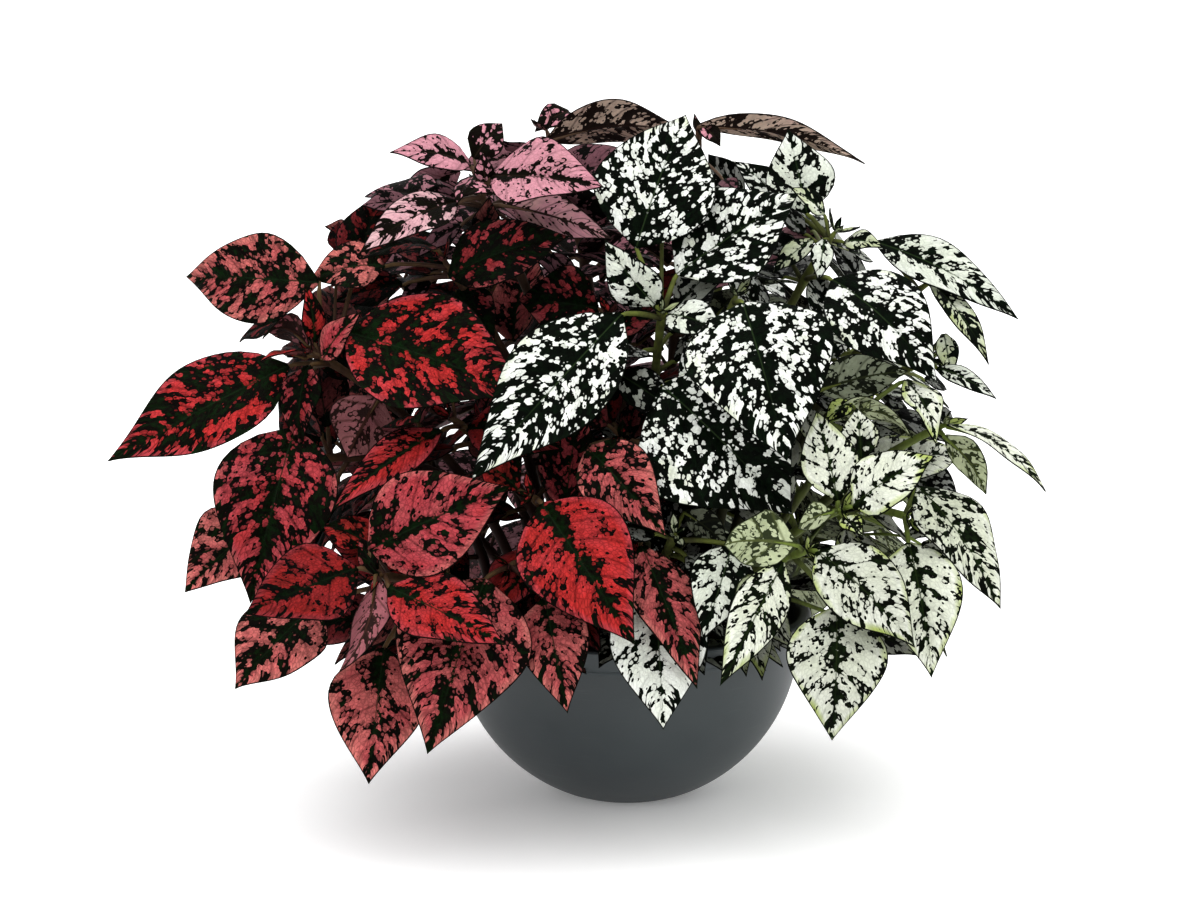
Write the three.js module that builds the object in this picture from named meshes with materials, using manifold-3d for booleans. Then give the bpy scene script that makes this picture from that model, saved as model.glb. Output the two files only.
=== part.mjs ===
// A potted polka dot plant: a round bowl of a pot, its soil, and leafy stems whose spotted leaves
// come in opposite pairs, red on the left, pink at the top left, white in the middle and cream at
// the right. Millimetres, +Z up, the origin at the middle of the pot's flat base, front towards -Y.
import * as THREE from "three";
import { mergeVertices } from "three/addons/utils/BufferGeometryUtils.js";
import Module from "manifold-3d";

const wasm = await Module();
wasm.setup();

// Pot
const POT_HEIGHT = 65;
const RIM_RADIUS = 65;
const RIM_BAND = 7;
const BOWL_RADIUS = 61;
const BOWL_CENTRE_HEIGHT = 57.5;
const BASE_RADIUS = 20;
const WALL = 3;
const FLOOR_THICKNESS = 4;
const BASE_EDGE = 1.6;
const BAND_STEP = 1;
const BAND_TAPER = 1.6;
const LIP_EDGE = 1;
const LIP_SLOPE = 1.5;
const POT_SIDES = 28;
const OUTSIDE_STEPS = 5;
const INSIDE_STEPS = 3;

// Soil
const SOIL_TOP = 57;
const SOIL_DOME = 2.5;
const SOIL_GAP = 0.3;
const LUMPS_ABOVE_EDGE = 0.05;
const HOLE_DEPTH = 12;
const HOLE_CLEARANCE = 0.8;
const HOLE_FLARE = 1.2;
const HOLE_FLOOR_GAP = 0.4;
const HOLE_OVERSHOOT = 20;
const HOLE_SIDES = 4;

// Stems and leaves
const STEM_FOOT_RADIUS = 2.1;
const STEM_TOP_RADIUS = 1.3;
const SHOOT_RADIUS = 1.5;
const STEM_SIDES = 4;
const STEM_STEPS = 7;
const STRAIGHT_SHARE = 1 / 7;
const COLLAR_HEIGHT = 1;
const STEM_LEAN = 0.15;
const STEM_RISE = 0.6;
const LEAST_RISE = 16;
const SHOOT_STEPS = 4;
const SHOOT_AT = 0.42;
const SHOOT_BEND = 0.45;
const BLADE_THICKNESS = 0.8;
const PETIOLE_HALF_WIDTH = 0.9;
const PETIOLE_THICKNESS = 1.6;
const LONG_PETIOLE = 24;
const LARGE_LEAF = 36;
const SMALL_LEAF = 18;
const WIDEST_AT = 0.38;
const TIP_SHARPNESS = 1.12;
const DEFAULT_FOLD = 0.2;
const DEFAULT_WAVE = 0.045;
const WAVE_TURNS = 9.5;
const WAVE_STEP = 2.4;
const OTHER_MARGIN_STEP = 2.1;

// Materials, each a colour and a roughness
const POT_LOOK = [0x343c3c, 0.5];
const SOIL_LOOK = [0x2b1e16, 0.95];
const LEAF_ROUGHNESS = 0.55;

// The front of the plant is set out from one viewpoint. A place is given as how far across and up it
// is seen on the upright plane through the pot's axis, and how far behind that plane it lies.
const EYE = new THREE.Vector3(-9.5, -1083, 313);

const FACES = {
  front: [0, -1, 0.3],
  up: [0, -0.35, 1],
  up_front: [0, -0.8, 0.7],
  up_left: [-0.6, -0.45, 0.8],
  up_right: [0.6, -0.45, 0.8],
  front_left: [-0.6, -1, 0.3],
  front_right: [0.6, -1, 0.3],
  up_back: [0, 0.75, 0.75],
  back: [0, 1, 0.25],
  back_left: [-0.7, 0.9, 0.2],
  back_right: [0.7, 0.9, 0.2],
};

const TINTS = {
  red: 0xa8323a,
  pink: 0xd58a96,
  white: 0xc9cfc4,
  cream: 0xd9d6b4,
};

// Each leafy stem: its name, tint, foot on the soil, the tips of the stem and its branches as seen,
// the pairs of inner leaves, and the leaves that show. A leaf's row holds its blade's base and tip as
// seen, its width, the way its upper face looks, its arch, and where they are unusual its fold and
// wave.
const FRONT_STEMS = [
  ["red_left", "red", [-34, -8], [[-110, 157, -42], [-118, 118, -42]], 1, [
    [[-107, 181, -40], [-153, 183, -8], 31, "front_left", 4, 0.15],
    [[-118, 152, -42], [-182, 118, -58], 35, "up_front", 1, 0.1],
    [[-109, 160, -42], [-112, 181, -46], 9, "front_right", 2],
    [[-111, 159, -42], [-127, 161, -50], 14, "up_back", 6],
    [[-112, 155, -44], [-128, 153, -58], 10, "up_left", 2],
    [[-111, 152, -46], [-114, 123, -56], 17, "front_left", 3],
    [[-106, 154, -45], [-92, 171, -52], 12, "up_front", 2],
    [[-117, 168, -24], [-135, 160, -14], 13, "up_left", 2],
    [[-98, 164, -48], [-34, 141, -68], 46, "up_front", 2],
    [[-116, 130, -50], [-133, 67, -74], 41, "front", 6, 0.3],
    [[-127, 99, -38], [-156, 71, -52], 31, "front_left", 1, 0.14],
  ]],
  ["red_low_left", "red", [-36, -30], [[-88, 77, -92]], 1, [
    [[-95, 80, -92], [-135, 63, -108], 30, "up_front", 1, 0.1],
    [[-84, 73, -94], [-43, 52, -120], 25, "up_front", 1, 0.1],
    [[-91, 86, -84], [-41, 109, -80], 35, "front", 8, 0.3],
    [[-91, 88, -78], [-107, 95, -72], 21, "up", 2, 0.1],
    [[-88, 79, -90], [-94, 91, -80], 8, "front_left", 1],
    [[-88, 77, -94], [-102, 42, -116], 16, "back_right", 4, 0.1],
    [[-110, 67, -72], [-139, 36, -90], 34, "front_left", 1, 0.1],
    [[-86, 51, -84], [-92, 1, -104], 32, "front", 2, 0.1],
  ]],
  ["red_mid", "red", [-20, -12], [[-62, 134, -50]], 0, [
    [[-65, 129, -58], [-104, 100, -78], 16, "up_front", 4],
    [[-86, 141, -48], [-98, 119, -60], 24, "back", 4],
    [[-61, 140, -46], [-66, 151, -36], 11, "up_front", 2],
    [[-56, 130, -50], [-22, 122, -58], 24, "up_front", 3],
  ]],
  ["red_top", "red", [-18, 6], [[-64, 189, -28]], 1, [
    [[-66, 193, -30], [-92, 189, -44], 16, "up", 3],
    [[-62, 183, -34], [-20, 197, -32], 27, "up_front", 4],
    [[-84, 187, -30], [-110, 182, -30], 20, "up_front", 3],
    [[-60, 178, -22], [-46, 160, -28], 18, "front", 3],
  ]],
  ["red_front", "red", [-10, -34], [[-34, 106, -76], [-42, 80, -78]], 1, [
    [[-30, 103, -80], [3, 52, -112], 38, "front", 5],
    [[-50, 76, -89], [-71, 12, -120], 44, "front", 5],
    [[-29, 69, -86], [-21, 27, -106], 24, "front", 4],
    [[-38, 108, -74], [-52, 118, -66], 14, "up_front", 2],
  ]],
  ["red_right", "red", [2, -16], [[-6, 170, -24], [-2, 126, -64], [4, 97, -74]], 0, [
    [[-14, 123, -72], [14, 91, -88], 25, "front", 7, 0.3],
    [[5, 88, -82], [25, 36, -106], 24, "front_right", 1, 0.1],
    [[-10, 172, -22], [-38, 175, -20], 26, "front", 3],
    [[-4, 163, -26], [12, 170, -30], 10, "up_front", 2],
  ]],
  ["pink_top", "pink", [-12, 18], [[-52, 214, -20]], 0, [
    [[-54, 222, -20], [-82, 226, -30], 15, "up_front", 3],
    [[-53, 224, -16], [-43, 236, -10], 13, "front", 3],
    [[-53, 218, -24], [-59, 208, -36], 8, "front_left", 1],
    [[-49, 216, -24], [-50, 226, -28], 7, "front", 1],
    [[-48, 214, -26], [-57, 211, -37], 7, "up_front", 1],
    [[-47, 218, -26], [-8, 214, -46], 28, "up_front", 2, 0.3],
    [[-43, 208, -20], [-5, 196, -34], 15, "back", 4],
    [[-59, 209, -26], [-93, 191, -52], 18, "up_front", 4],
  ]],
  ["pink_high", "pink", [0, 26], [[-28, 234, 18]], 2, [
    [[-28, 230, 14], [25, 230, -4], 23, "up_back", 7],
    [[-20, 240, 26], [-32, 233, 20], 11, "up_front", 2],
  ]],
  ["pink_right", "pink", [12, 20], [[25, 232, 6]], 2, [
    [[24, 235, 4], [82, 222, -14], 14, "up_back", 5, 0.3],
    [[26, 235, 4], [32, 228, -4], 7, "up_front", 1],
  ]],
  ["white_mid", "white", [6, -4], [[12, 171, -48]], 0, [
    [[3, 193, -42], [20, 239, -20], 42, "up_front", 4],
    [[17, 184, -44], [59, 212, -34], 37, "up_front", 1, 0.26],
    [[10, 173, -50], [-8, 196, -58], 18, "front_left", 2],
    [[14, 170, -50], [34, 163, -64], 16, "up_front", 2],
    [[12, 205, -26], [29, 218, -22], 8, "up_back", 2],
    [[-2, 170, -60], [-55, 111, -86], 37, "up_front", 1, 0.14],
    [[-3, 149, -50], [19, 134, -58], 14, "front", 3],
  ]],
  ["white_big", "white", [16, -22], [[38, 177, -52]], 0, [
    [[40, 174, -60], [56, 118, -94], 49, "front", 6],
    [[21, 161, -54], [55, 117, -76], 27, "front", 4],
    [[12, 145, -64], [58, 99, -78], 56, "front", 8, 0.3],
  ]],
  ["white_low", "white", [8, -36], [[17, 92, -78]], 0, [
    [[37, 88, -82], [27, 54, -98], 21, "front", 3],
    [[10, 73, -86], [13, 21, -102], 32, "front", 3],
    [[20, 100, -70], [36, 87, -78], 11, "back", 2],
  ]],
  ["white_right", "white", [28, -2], [[72, 199, -24], [66, 152, -46]], 1, [
    [[62, 205, -20], [55, 234, -12], 24, "up_front", 1, 0.1],
    [[68, 205, -26], [56, 214, -32], 9, "up_front", 1],
    [[64, 196, -26], [50, 184, -34], 9, "front_left", 1],
    [[68, 196, -28], [66, 181, -38], 8, "front", 1],
    [[75, 195, -24], [89, 193, -32], 9, "up_front", 2],
    [[56, 206, -10], [36, 223, -2], 13, "up_front", 3],
    [[71, 182, -42], [108, 146, -64], 34, "up_front", 6, 0.11],
    [[66, 143, -52], [98, 150, -64], 17, "back", 3],
  ]],
  ["white_far_right", "white", [40, 0], [[104, 181, -28], [106, 154, -40]], 1, [
    [[86, 195, -22], [136, 168, -36], 19, "up_front", 5],
    [[105, 181, -30], [126, 152, -48], 11, "front_right", 3],
    [[110, 163, -36], [113, 147, -46], 8, "front", 1],
    [[108, 151, -42], [129, 140, -54], 8, "up_front", 2],
  ]],
  ["cream_mid", "cream", [32, -28], [[76, 101, -90], [82, 136, -64]], 0, [
    [[74, 104, -88], [66, 136, -74], 19, "front", 3, 0.2, 0.09],
    [[78, 139, -62], [69, 132, -66], 8, "front_left", 1],
    [[82, 119, -80], [80, 137, -72], 13, "front", 2],
    [[69, 132, -68], [100, 126, -76], 13, "up_back", 8],
    [[97, 147, -58], [108, 124, -72], 14, "front_right", 3, 0.2, 0.1],
    [[79, 102, -92], [108, 120, -98], 22, "up_front", 3, 0.2, 0.09],
    [[76, 98, -92], [83, 91, -102], 8, "up_front", 1],
    [[72, 100, -93], [60, 94, -104], 10, "back_left", 2],
  ]],
  ["cream_low", "cream", [22, -38], [[64, 86, -96]], 0, [
    [[67, 86, -98], [102, 51, -116], 28, "up_front", 4, 0.2, 0.07],
    [[74, 66, -100], [73, 17, -114], 32, "front", 8, 0.16, 0.11],
    [[60, 88, -98], [34, 88, -110], 20, "back_left", 5, 0.2, 0.11],
    [[52, 75, -94], [37, 64, -100], 13, "back", 2],
    [[55, 82, -94], [33, 37, -110], 18, "front", 1, 0.1],
  ]],
  ["cream_right", "cream", [42, -16], [[111, 131, -52], [99, 98, -70]], 1, [
    [[112, 131, -54], [147, 107, -74], 13, "up_right", 4],
    [[111, 127, -55], [126, 106, -68], 13, "back_right", 3],
    [[102, 109, -64], [132, 65, -88], 26, "front_right", 4, 0.1, 0.07],
    [[99, 89, -76], [108, 40, -94], 28, "front", 8, 0.3, 0.07],
  ]],
];

// The stems of the far side: name, tint, foot on the soil, tip in millimetres, and pairs of leaves.
const BACK_STEMS = [
  ["red_side", "red", [-46, 6], [-88, 16, 134], 4],
  ["red_back_low", "red", [-38, 26], [-96, 64, 106], 4],
  ["red_back_top", "red", [-26, 34], [-60, 66, 160], 4],
  ["pink_back", "pink", [-8, 38], [-18, 62, 198], 4],
  ["pink_back_mid", "pink", [-2, 46], [-8, 92, 154], 3],
  ["pink_back_low", "pink", [-20, 46], [-42, 110, 112], 4],
  ["white_back", "white", [14, 34], [38, 56, 184], 4],
  ["white_back_low", "white", [20, 45], [48, 104, 112], 4],
  ["cream_back", "cream", [34, 28], [84, 56, 150], 4],
  ["cream_back_low", "cream", [42, 16], [106, 48, 98], 4],
  ["white_side", "white", [32, 12], [90, 16, 172], 3],
  ["red_side_top", "red", [-30, 16], [-86, 30, 184], 3],
];

// The point seen across and up from the viewpoint, at a depth behind the plane through the axis.
function seen([across, up, depth]) {
  const reach = (depth - EYE.y) / (0 - EYE.y);
  return new THREE.Vector3(
    EYE.x + (across - EYE.x) * reach,
    depth,
    EYE.z + (up - EYE.z) * reach,
  );
}

// The reverse of seen().
function asSeen(point) {
  const reach = (0 - EYE.y) / (point.y - EYE.y);
  return [EYE.x + (point.x - EYE.x) * reach, EYE.z + (point.z - EYE.z) * reach, point.y];
}

// A point pushed back along its line of sight until it lies that much deeper.
function slid(point, deeper) {
  const step = deeper / (point.y - EYE.y);
  return point.clone().add(point.clone().sub(EYE).multiplyScalar(step));
}

// The stem's curve: straight up out of the soil, then over to its tip.
class StemCurve extends THREE.Curve {
  constructor(foot, tip) {
    super();
    this.foot = new THREE.Vector3(foot[0], foot[1], SOIL_TOP - HOLE_DEPTH);
    this.collar = new THREE.Vector3(foot[0], foot[1], SOIL_TOP + SOIL_DOME + COLLAR_HEIGHT);
    const rise = Math.max(STEM_RISE * (tip.z - this.collar.z), LEAST_RISE);
    this.bend = this.collar.clone().lerp(tip, STEM_LEAN).setZ(this.collar.z + rise);
    this.tip = tip;
  }

  // A side shoot leaves the stem at this point and ends at its own tip.
  shoot(tip) {
    const start = this.getPoint(SHOOT_AT);
    const reach = SHOOT_BEND * start.distanceTo(tip);
    const bend = start.clone().addScaledVector(this.getTangent(SHOOT_AT), reach);
    return new THREE.QuadraticBezierCurve3(start, bend, tip);
  }

  getPoint(u) {
    if (u < STRAIGHT_SHARE) {
      return this.foot.clone().lerp(this.collar, u / STRAIGHT_SHARE);
    }
    const s = (u - STRAIGHT_SHARE) / (1 - STRAIGHT_SHARE);
    return this.collar.clone().multiplyScalar((1 - s) ** 2)
      .addScaledVector(this.bend, 2 * s * (1 - s))
      .addScaledVector(this.tip, s ** 2);
  }
}

// The point at u of the straight lengths that stand for a stem or a shoot.
function chordPoint(curve, steps, u) {
  const whole = Math.floor(u * steps);
  const here = curve.getPoint(whole / steps);
  return here.lerp(curve.getPoint((whole + 1) / steps), u * steps - whole);
}

const JOINT_STEPS = 40;
const LOWEST_JOINT = 8;
const JOINT_DROP = 1;
const COST_OF_HEIGHT = 1.5;

// Where on the stem or its shoots a leaf with its blade's base there is joined: close by and not
// above it.
function attachment(curves, base) {
  let best = null;
  let least = Infinity;
  for (const curve of curves) {
    const steps = curve instanceof StemCurve ? STEM_STEPS : SHOOT_STEPS;
    for (let step = LOWEST_JOINT; step < JOINT_STEPS; step += 1) {
      const point = chordPoint(curve, steps, step / JOINT_STEPS);
      const tooHigh = Math.max(0, point.z - base.z + JOINT_DROP);
      const cost = point.distanceTo(base) + COST_OF_HEIGHT * tooHigh;
      if (cost < least) {
        least = cost;
        best = point;
      }
    }
  }
  return best;
}

function makeLeaf(curves, base, tip, width, face, arch, fold = DEFAULT_FOLD, wave = DEFAULT_WAVE) {
  const along = tip.clone().sub(base);
  const length = along.length();
  const direction = along.clone().normalize();
  const normal = new THREE.Vector3(...face);
  normal.addScaledVector(direction, -normal.dot(direction)).normalize();
  const side = new THREE.Vector3().crossVectors(direction, normal);
  const root = attachment(curves, base);
  return { root, base, tip, length, width, normal, side, arch, fold, wave, slideBase: 0, slideTip: 0 };
}

const WIDTH_POWER = Math.log(0.5) / Math.log(WIDEST_AT);

function halfWidth(leaf, t) {
  const swell = Math.sin(Math.PI * Math.pow(t, WIDTH_POWER));
  const blade = 0.5 * leaf.width * Math.pow(Math.max(swell, 0), TIP_SHARPNESS);
  return Math.max(blade, PETIOLE_HALF_WIDTH * (1 - t));
}

// A point of the blade's middle surface: t runs from base to tip, v from one margin to the other.
// The leaf's number sets where its waves fall.
function bladePoint(leaf, t, v, number) {
  const half = halfWidth(leaf, t);
  const margin = Math.abs(v);
  const phase = WAVE_STEP * number + (v < 0 ? OTHER_MARGIN_STEP : 0);
  const height = leaf.wave * leaf.width * margin * Math.sin(Math.PI * t);
  const ripple = height * Math.sin(WAVE_TURNS * t + phase);
  const lift = leaf.arch * 4 * t * (1 - t) + leaf.fold * margin * half + ripple;
  const point = leaf.base.clone().lerp(leaf.tip, t);
  point.addScaledVector(leaf.side, v * half);
  point.addScaledVector(leaf.normal, lift);
  return slid(point, leaf.slideBase * (1 - t) + leaf.slideTip * t);
}

// Pairs of leaves in opposite directions down a stem, each pair turned from the one above it. Below
// the top pair, a leaf that would grow in towards the middle of the plant is left out.
const INWARD_LIMIT = 0.25;
const INNER_LENGTHS = [44, 46];
const INNER_FROM = 0.72;
const INNER_TWIST = 0.4;
const BACK_LENGTHS = [20, 36, 50, 60];
const BACK_FROM = 0.98;
const BACK_TWIST = 0.6;
const PAIR_SPACING = 0.12;
const PAIR_TURN = 1.35;
const PAIR_RISE = 0.55;
const PAIR_RISE_LOSS = 0.22;
const PAIR_PETIOLE = 3;
const PAIR_PETIOLE_SHARE = 0.1;
const TIP_DROOP = 0.16;
const LOWEST_TIP_SHARE = 0.4;
const FACE_LIFT = 0.4;
const PAIR_WIDTH_SHARE = 0.52;
const PAIR_ARCH_SHARE = 0.07;

function pairsBelow(curve, first, lengths, twist) {
  const leaves = [];
  lengths.forEach((size, pair) => {
    const u = first - PAIR_SPACING * pair;
    const joint = curve.getPoint(u);
    const axis = curve.getTangent(u);
    const level = new THREE.Vector3(axis.y, -axis.x, 0).normalize();
    const upright = new THREE.Vector3().crossVectors(level, axis).normalize();
    const turn = PAIR_TURN * pair + twist;
    const across = level.clone().multiplyScalar(Math.cos(turn)).addScaledVector(upright, Math.sin(turn));
    for (const sign of [1, -1]) {
      const out = across.clone().multiplyScalar(sign);
      if (pair > 0 && out.x * joint.x + out.y * joint.y < -INWARD_LIMIT * Math.hypot(joint.x, joint.y)) {
        continue;
      }
      const rise = PAIR_RISE - PAIR_RISE_LOSS * pair;
      const heading = out.clone().addScaledVector(axis, rise).normalize();
      const petiole = PAIR_PETIOLE + PAIR_PETIOLE_SHARE * size;
      const base = joint.clone().addScaledVector(heading, petiole);
      const tip = base.clone().addScaledVector(heading, size);
      tip.z -= TIP_DROOP * size;
      tip.z = Math.max(tip.z, LOWEST_TIP_SHARE * base.z);
      const face = axis.clone().add(new THREE.Vector3(0, 0, FACE_LIFT)).toArray();
      leaves.push([base, tip, PAIR_WIDTH_SHARE * size, face, PAIR_ARCH_SHARE * size]);
    }
  });
  return leaves;
}

function plantStems() {
  const stems = [];
  FRONT_STEMS.forEach(([name, tint, foot, [mainTip, ...shootTips], innerPairs, rows], index) => {
    const main = new StemCurve(foot, seen(mainTip));
    const curves = [main, ...shootTips.map((tip) => main.shoot(seen(tip)))];
    const leaves = rows.map(([base, tip, width, face, ...rest]) =>
      makeLeaf(curves, seen(base), seen(tip), width, FACES[face], ...rest));
    const lengths = INNER_LENGTHS.slice(0, innerPairs);
    for (const row of pairsBelow(main, INNER_FROM, lengths, INNER_TWIST * index)) {
      leaves.push(makeLeaf([main], ...row));
    }
    stems.push({ name, tint, foot, curves, leaves });
  });
  BACK_STEMS.forEach(([name, tint, foot, tip, pairs], index) => {
    const main = new StemCurve(foot, new THREE.Vector3(...tip));
    const lengths = BACK_LENGTHS.slice(0, pairs);
    const rows = pairsBelow(main, BACK_FROM, lengths, BACK_TWIST * (index + 1));
    const leaves = rows.map((row) => makeLeaf([main], ...row));
    stems.push({ name, tint, foot, curves: [main], leaves });
  });
  let number = 0;
  for (const stem of stems) {
    for (const leaf of stem.leaves) {
      leaf.number = number;
      number += 1;
    }
  }
  return stems;
}

// Clearing the leaves of each other. Every leaf and stem is a sheet of small triangles as seen from
// the viewpoint. Where two sheets are seen one over the other, the nearer one stays nearer by a
// clearance: both slide along the line of sight, base and tip each by its own amount.
const CLEARANCE = 1.7;
const CLEARING_ROUNDS = 90;
const FURTHEST_SLIDE = 22;
const SHEET_STATIONS = [0, 0.12, 0.26, 0.4, 0.55, 0.7, 0.85, 1];
const PETIOLE_PARTS = 4;
const PROBE_HALF_WIDTH = 2.2;
const STEM_PARTS = 24;
const STEM_HALF_WIDTH = 3;
const JOINED_SHARE = 0.2;
const LEAST_FACING = 0.3;
const LEAST_AREA = 1e-6;
const LEAST_WEIGHT = 0.02;

function sheetPoint(point, baseShare, tipShare, inner) {
  const [across, up, depth] = asSeen(point);
  return { across, up, depth, baseShare, tipShare, inner };
}

function ribbonRow(here, next, halfWidthThere, baseShare, inner) {
  const [a0, u0] = asSeen(here);
  const [a1, u1] = asSeen(next);
  const span = Math.hypot(a1 - a0, u1 - u0) || 1;
  const over = new THREE.Vector3(-(u1 - u0) / span, 0, (a1 - a0) / span);
  return [-1, 0, 1].map((v) => sheetPoint(
    here.clone().addScaledVector(over, v * halfWidthThere), baseShare, 0, inner));
}

function leafSheet(leaf, stemIndex) {
  const rows = [];
  for (let part = 0; part < PETIOLE_PARTS; part += 1) {
    const share = part / PETIOLE_PARTS;
    const here = leaf.root.clone().lerp(leaf.base, share);
    rows.push(ribbonRow(here, leaf.base, PROBE_HALF_WIDTH, share, true));
  }
  for (const t of SHEET_STATIONS) {
    rows.push([-1, -0.5, 0, 0.5, 1].map((v) =>
      sheetPoint(bladePoint(leaf, t, v, leaf.number), 1 - t, t, t < JOINED_SHARE)));
  }
  const toEye = EYE.clone().sub(leaf.base).normalize();
  const facing = Math.max(Math.abs(leaf.normal.dot(toEye)), LEAST_FACING);
  return { rows, leaf, stemIndex, clearance: CLEARANCE / facing };
}

function stemSheet(curve, stemIndex) {
  const rows = [];
  for (let step = 0; step < STEM_PARTS; step += 1) {
    const here = curve.getPoint(step / STEM_PARTS);
    const next = curve.getPoint((step + 1) / STEM_PARTS);
    rows.push(ribbonRow(here, next, STEM_HALF_WIDTH, 0, false));
  }
  return { rows, leaf: null, stemIndex, clearance: CLEARANCE + STEM_FOOT_RADIUS };
}

function withTriangles(sheet) {
  sheet.points = sheet.rows.flat();
  sheet.triangles = [];
  for (let r = 0; r + 1 < sheet.rows.length; r += 1) {
    const near = sheet.rows[r];
    const far = sheet.rows[r + 1];
    if (near.length !== far.length) {
      continue;
    }
    for (let c = 0; c + 1 < near.length; c += 1) {
      sheet.triangles.push([near[c], near[c + 1], far[c]]);
      sheet.triangles.push([near[c + 1], far[c + 1], far[c]]);
    }
  }
  const across = sheet.points.map((point) => point.across);
  const up = sheet.points.map((point) => point.up);
  sheet.box = [Math.min(...across), Math.max(...across), Math.min(...up), Math.max(...up)];
  return sheet;
}

// The place in the sheet that a point is seen over, as shares of one triangle's corners.
function seenOver(sheet, point) {
  for (const [a, b, c] of sheet.triangles) {
    const area = (b.across - a.across) * (c.up - a.up) - (c.across - a.across) * (b.up - a.up);
    if (Math.abs(area) < LEAST_AREA) {
      continue;
    }
    const shareB = ((point.across - a.across) * (c.up - a.up)
      - (c.across - a.across) * (point.up - a.up)) / area;
    const shareC = ((b.across - a.across) * (point.up - a.up)
      - (point.across - a.across) * (b.up - a.up)) / area;
    const shareA = 1 - shareB - shareC;
    if (shareA < 0 || shareB < 0 || shareC < 0) {
      continue;
    }
    const mixed = (key) => shareA * a[key] + shareB * b[key] + shareC * c[key];
    return {
      depth: mixed("depth"),
      baseShare: mixed("baseShare"),
      tipShare: mixed("tipShare"),
      inner: a.inner && b.inner,
    };
  }
  return null;
}

function overlapsBetween(one, two) {
  const found = [];
  const apart = one.box[0] > two.box[1] || two.box[0] > one.box[1]
    || one.box[2] > two.box[3] || two.box[2] > one.box[3];
  if (apart) {
    return found;
  }
  const sameStem = one.stemIndex === two.stemIndex;
  for (const point of one.points) {
    const under = seenOver(two, point);
    if (under && !(sameStem && (point.inner || under.inner))) {
      found.push({ first: point, second: under });
    }
  }
  for (const point of two.points) {
    const under = seenOver(one, point);
    if (under && !(sameStem && (point.inner || under.inner))) {
      found.push({ first: under, second: point });
    }
  }
  return found;
}

function depthOf(sheet, place) {
  if (!sheet.leaf) {
    return place.depth;
  }
  return place.depth + place.baseShare * sheet.leaf.slideBase + place.tipShare * sheet.leaf.slideTip;
}

function pushed(sheet, place, amount) {
  if (sheet.leaf) {
    const { leaf } = sheet;
    const base = leaf.slideBase + amount * place.baseShare;
    const tip = leaf.slideTip + amount * place.tipShare;
    leaf.slideBase = THREE.MathUtils.clamp(base, -FURTHEST_SLIDE, FURTHEST_SLIDE);
    leaf.slideTip = THREE.MathUtils.clamp(tip, -FURTHEST_SLIDE, FURTHEST_SLIDE);
  }
}

function weightOf(sheet, place) {
  return sheet.leaf ? place.baseShare ** 2 + place.tipShare ** 2 : 0;
}

function clearLeaves(stems) {
  const sheets = [];
  stems.forEach((stem, index) => {
    for (const curve of stem.curves) {
      sheets.push(withTriangles(stemSheet(curve, index)));
    }
    for (const leaf of stem.leaves) {
      sheets.push(withTriangles(leafSheet(leaf, index)));
    }
  });
  const pairs = [];
  for (let i = 0; i < sheets.length; i += 1) {
    for (let j = i + 1; j < sheets.length; j += 1) {
      const one = sheets[i];
      const two = sheets[j];
      const onOwnStem = one.stemIndex === two.stemIndex && (!one.leaf || !two.leaf);
      const bothStems = !one.leaf && !two.leaf;
      if (onOwnStem || bothStems) {
        continue;
      }
      const overlaps = overlapsBetween(one, two);
      if (overlaps.length > 0) {
        const lead = overlaps.reduce((sum, { first, second }) => sum + second.depth - first.depth, 0);
        const clearance = Math.max(one.clearance, two.clearance);
        pairs.push({ one, two, overlaps, clearance, order: lead >= 0 ? 1 : -1 });
      }
    }
  }
  for (let round = 0; round < CLEARING_ROUNDS; round += 1) {
    for (const { one, two, overlaps, clearance, order } of pairs) {
      for (const { first, second } of overlaps) {
        const gap = order * (depthOf(two, second) - depthOf(one, first)) - clearance;
        const weight = weightOf(one, first) + weightOf(two, second);
        if (gap < 0 && weight > LEAST_WEIGHT) {
          const push = -gap / weight;
          pushed(one, first, -order * push);
          pushed(two, second, order * push);
        }
      }
    }
  }
}

// Solids
const MERGE_DISTANCE = 1e-5;
const NORMAL_REACH = 0.04;
const LEAST_OVER = 0.3;
const LARGE_STATIONS = [0.16, 0.42, 0.73];
const MIDDLE_STATIONS = [0.28, 0.66];
const SMALL_STATIONS = [0.42];

function solidOf(geometry) {
  const bare = geometry.index ? geometry.toNonIndexed() : geometry;
  bare.deleteAttribute("normal");
  bare.deleteAttribute("uv");
  const merged = mergeVertices(bare, MERGE_DISTANCE);
  return new wasm.Manifold(new wasm.Mesh({
    numProp: 3,
    vertProperties: Float32Array.from(merged.attributes.position.array),
    triVerts: Uint32Array.from(merged.index.array),
  }));
}

function geometryOf(solid) {
  const mesh = solid.getMesh();
  const geometry = new THREE.BufferGeometry();
  geometry.setAttribute("position", new THREE.BufferAttribute(mesh.vertProperties, 3));
  geometry.setIndex(new THREE.BufferAttribute(mesh.triVerts, 1));
  geometry.computeVertexNormals();
  return geometry;
}

function solidFrom(points, faces) {
  return new wasm.Manifold(new wasm.Mesh({
    numProp: 3,
    vertProperties: Float32Array.from(points.flatMap((point) => point.toArray())),
    triVerts: Uint32Array.from(faces.flat()),
  }));
}

// The blade's normal at a point of its middle surface.
function bladeNormal(leaf, t, v) {
  const ahead = bladePoint(leaf, Math.min(t + NORMAL_REACH, 1), v, leaf.number);
  const behind = bladePoint(leaf, Math.max(t - NORMAL_REACH, 0), v, leaf.number);
  const beside = Math.min(t, 1 - NORMAL_REACH);
  const left = bladePoint(leaf, beside, -1, leaf.number);
  const right = bladePoint(leaf, beside, 1, leaf.number);
  return new THREE.Vector3().crossVectors(right.sub(left), ahead.sub(behind)).normalize();
}

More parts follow.
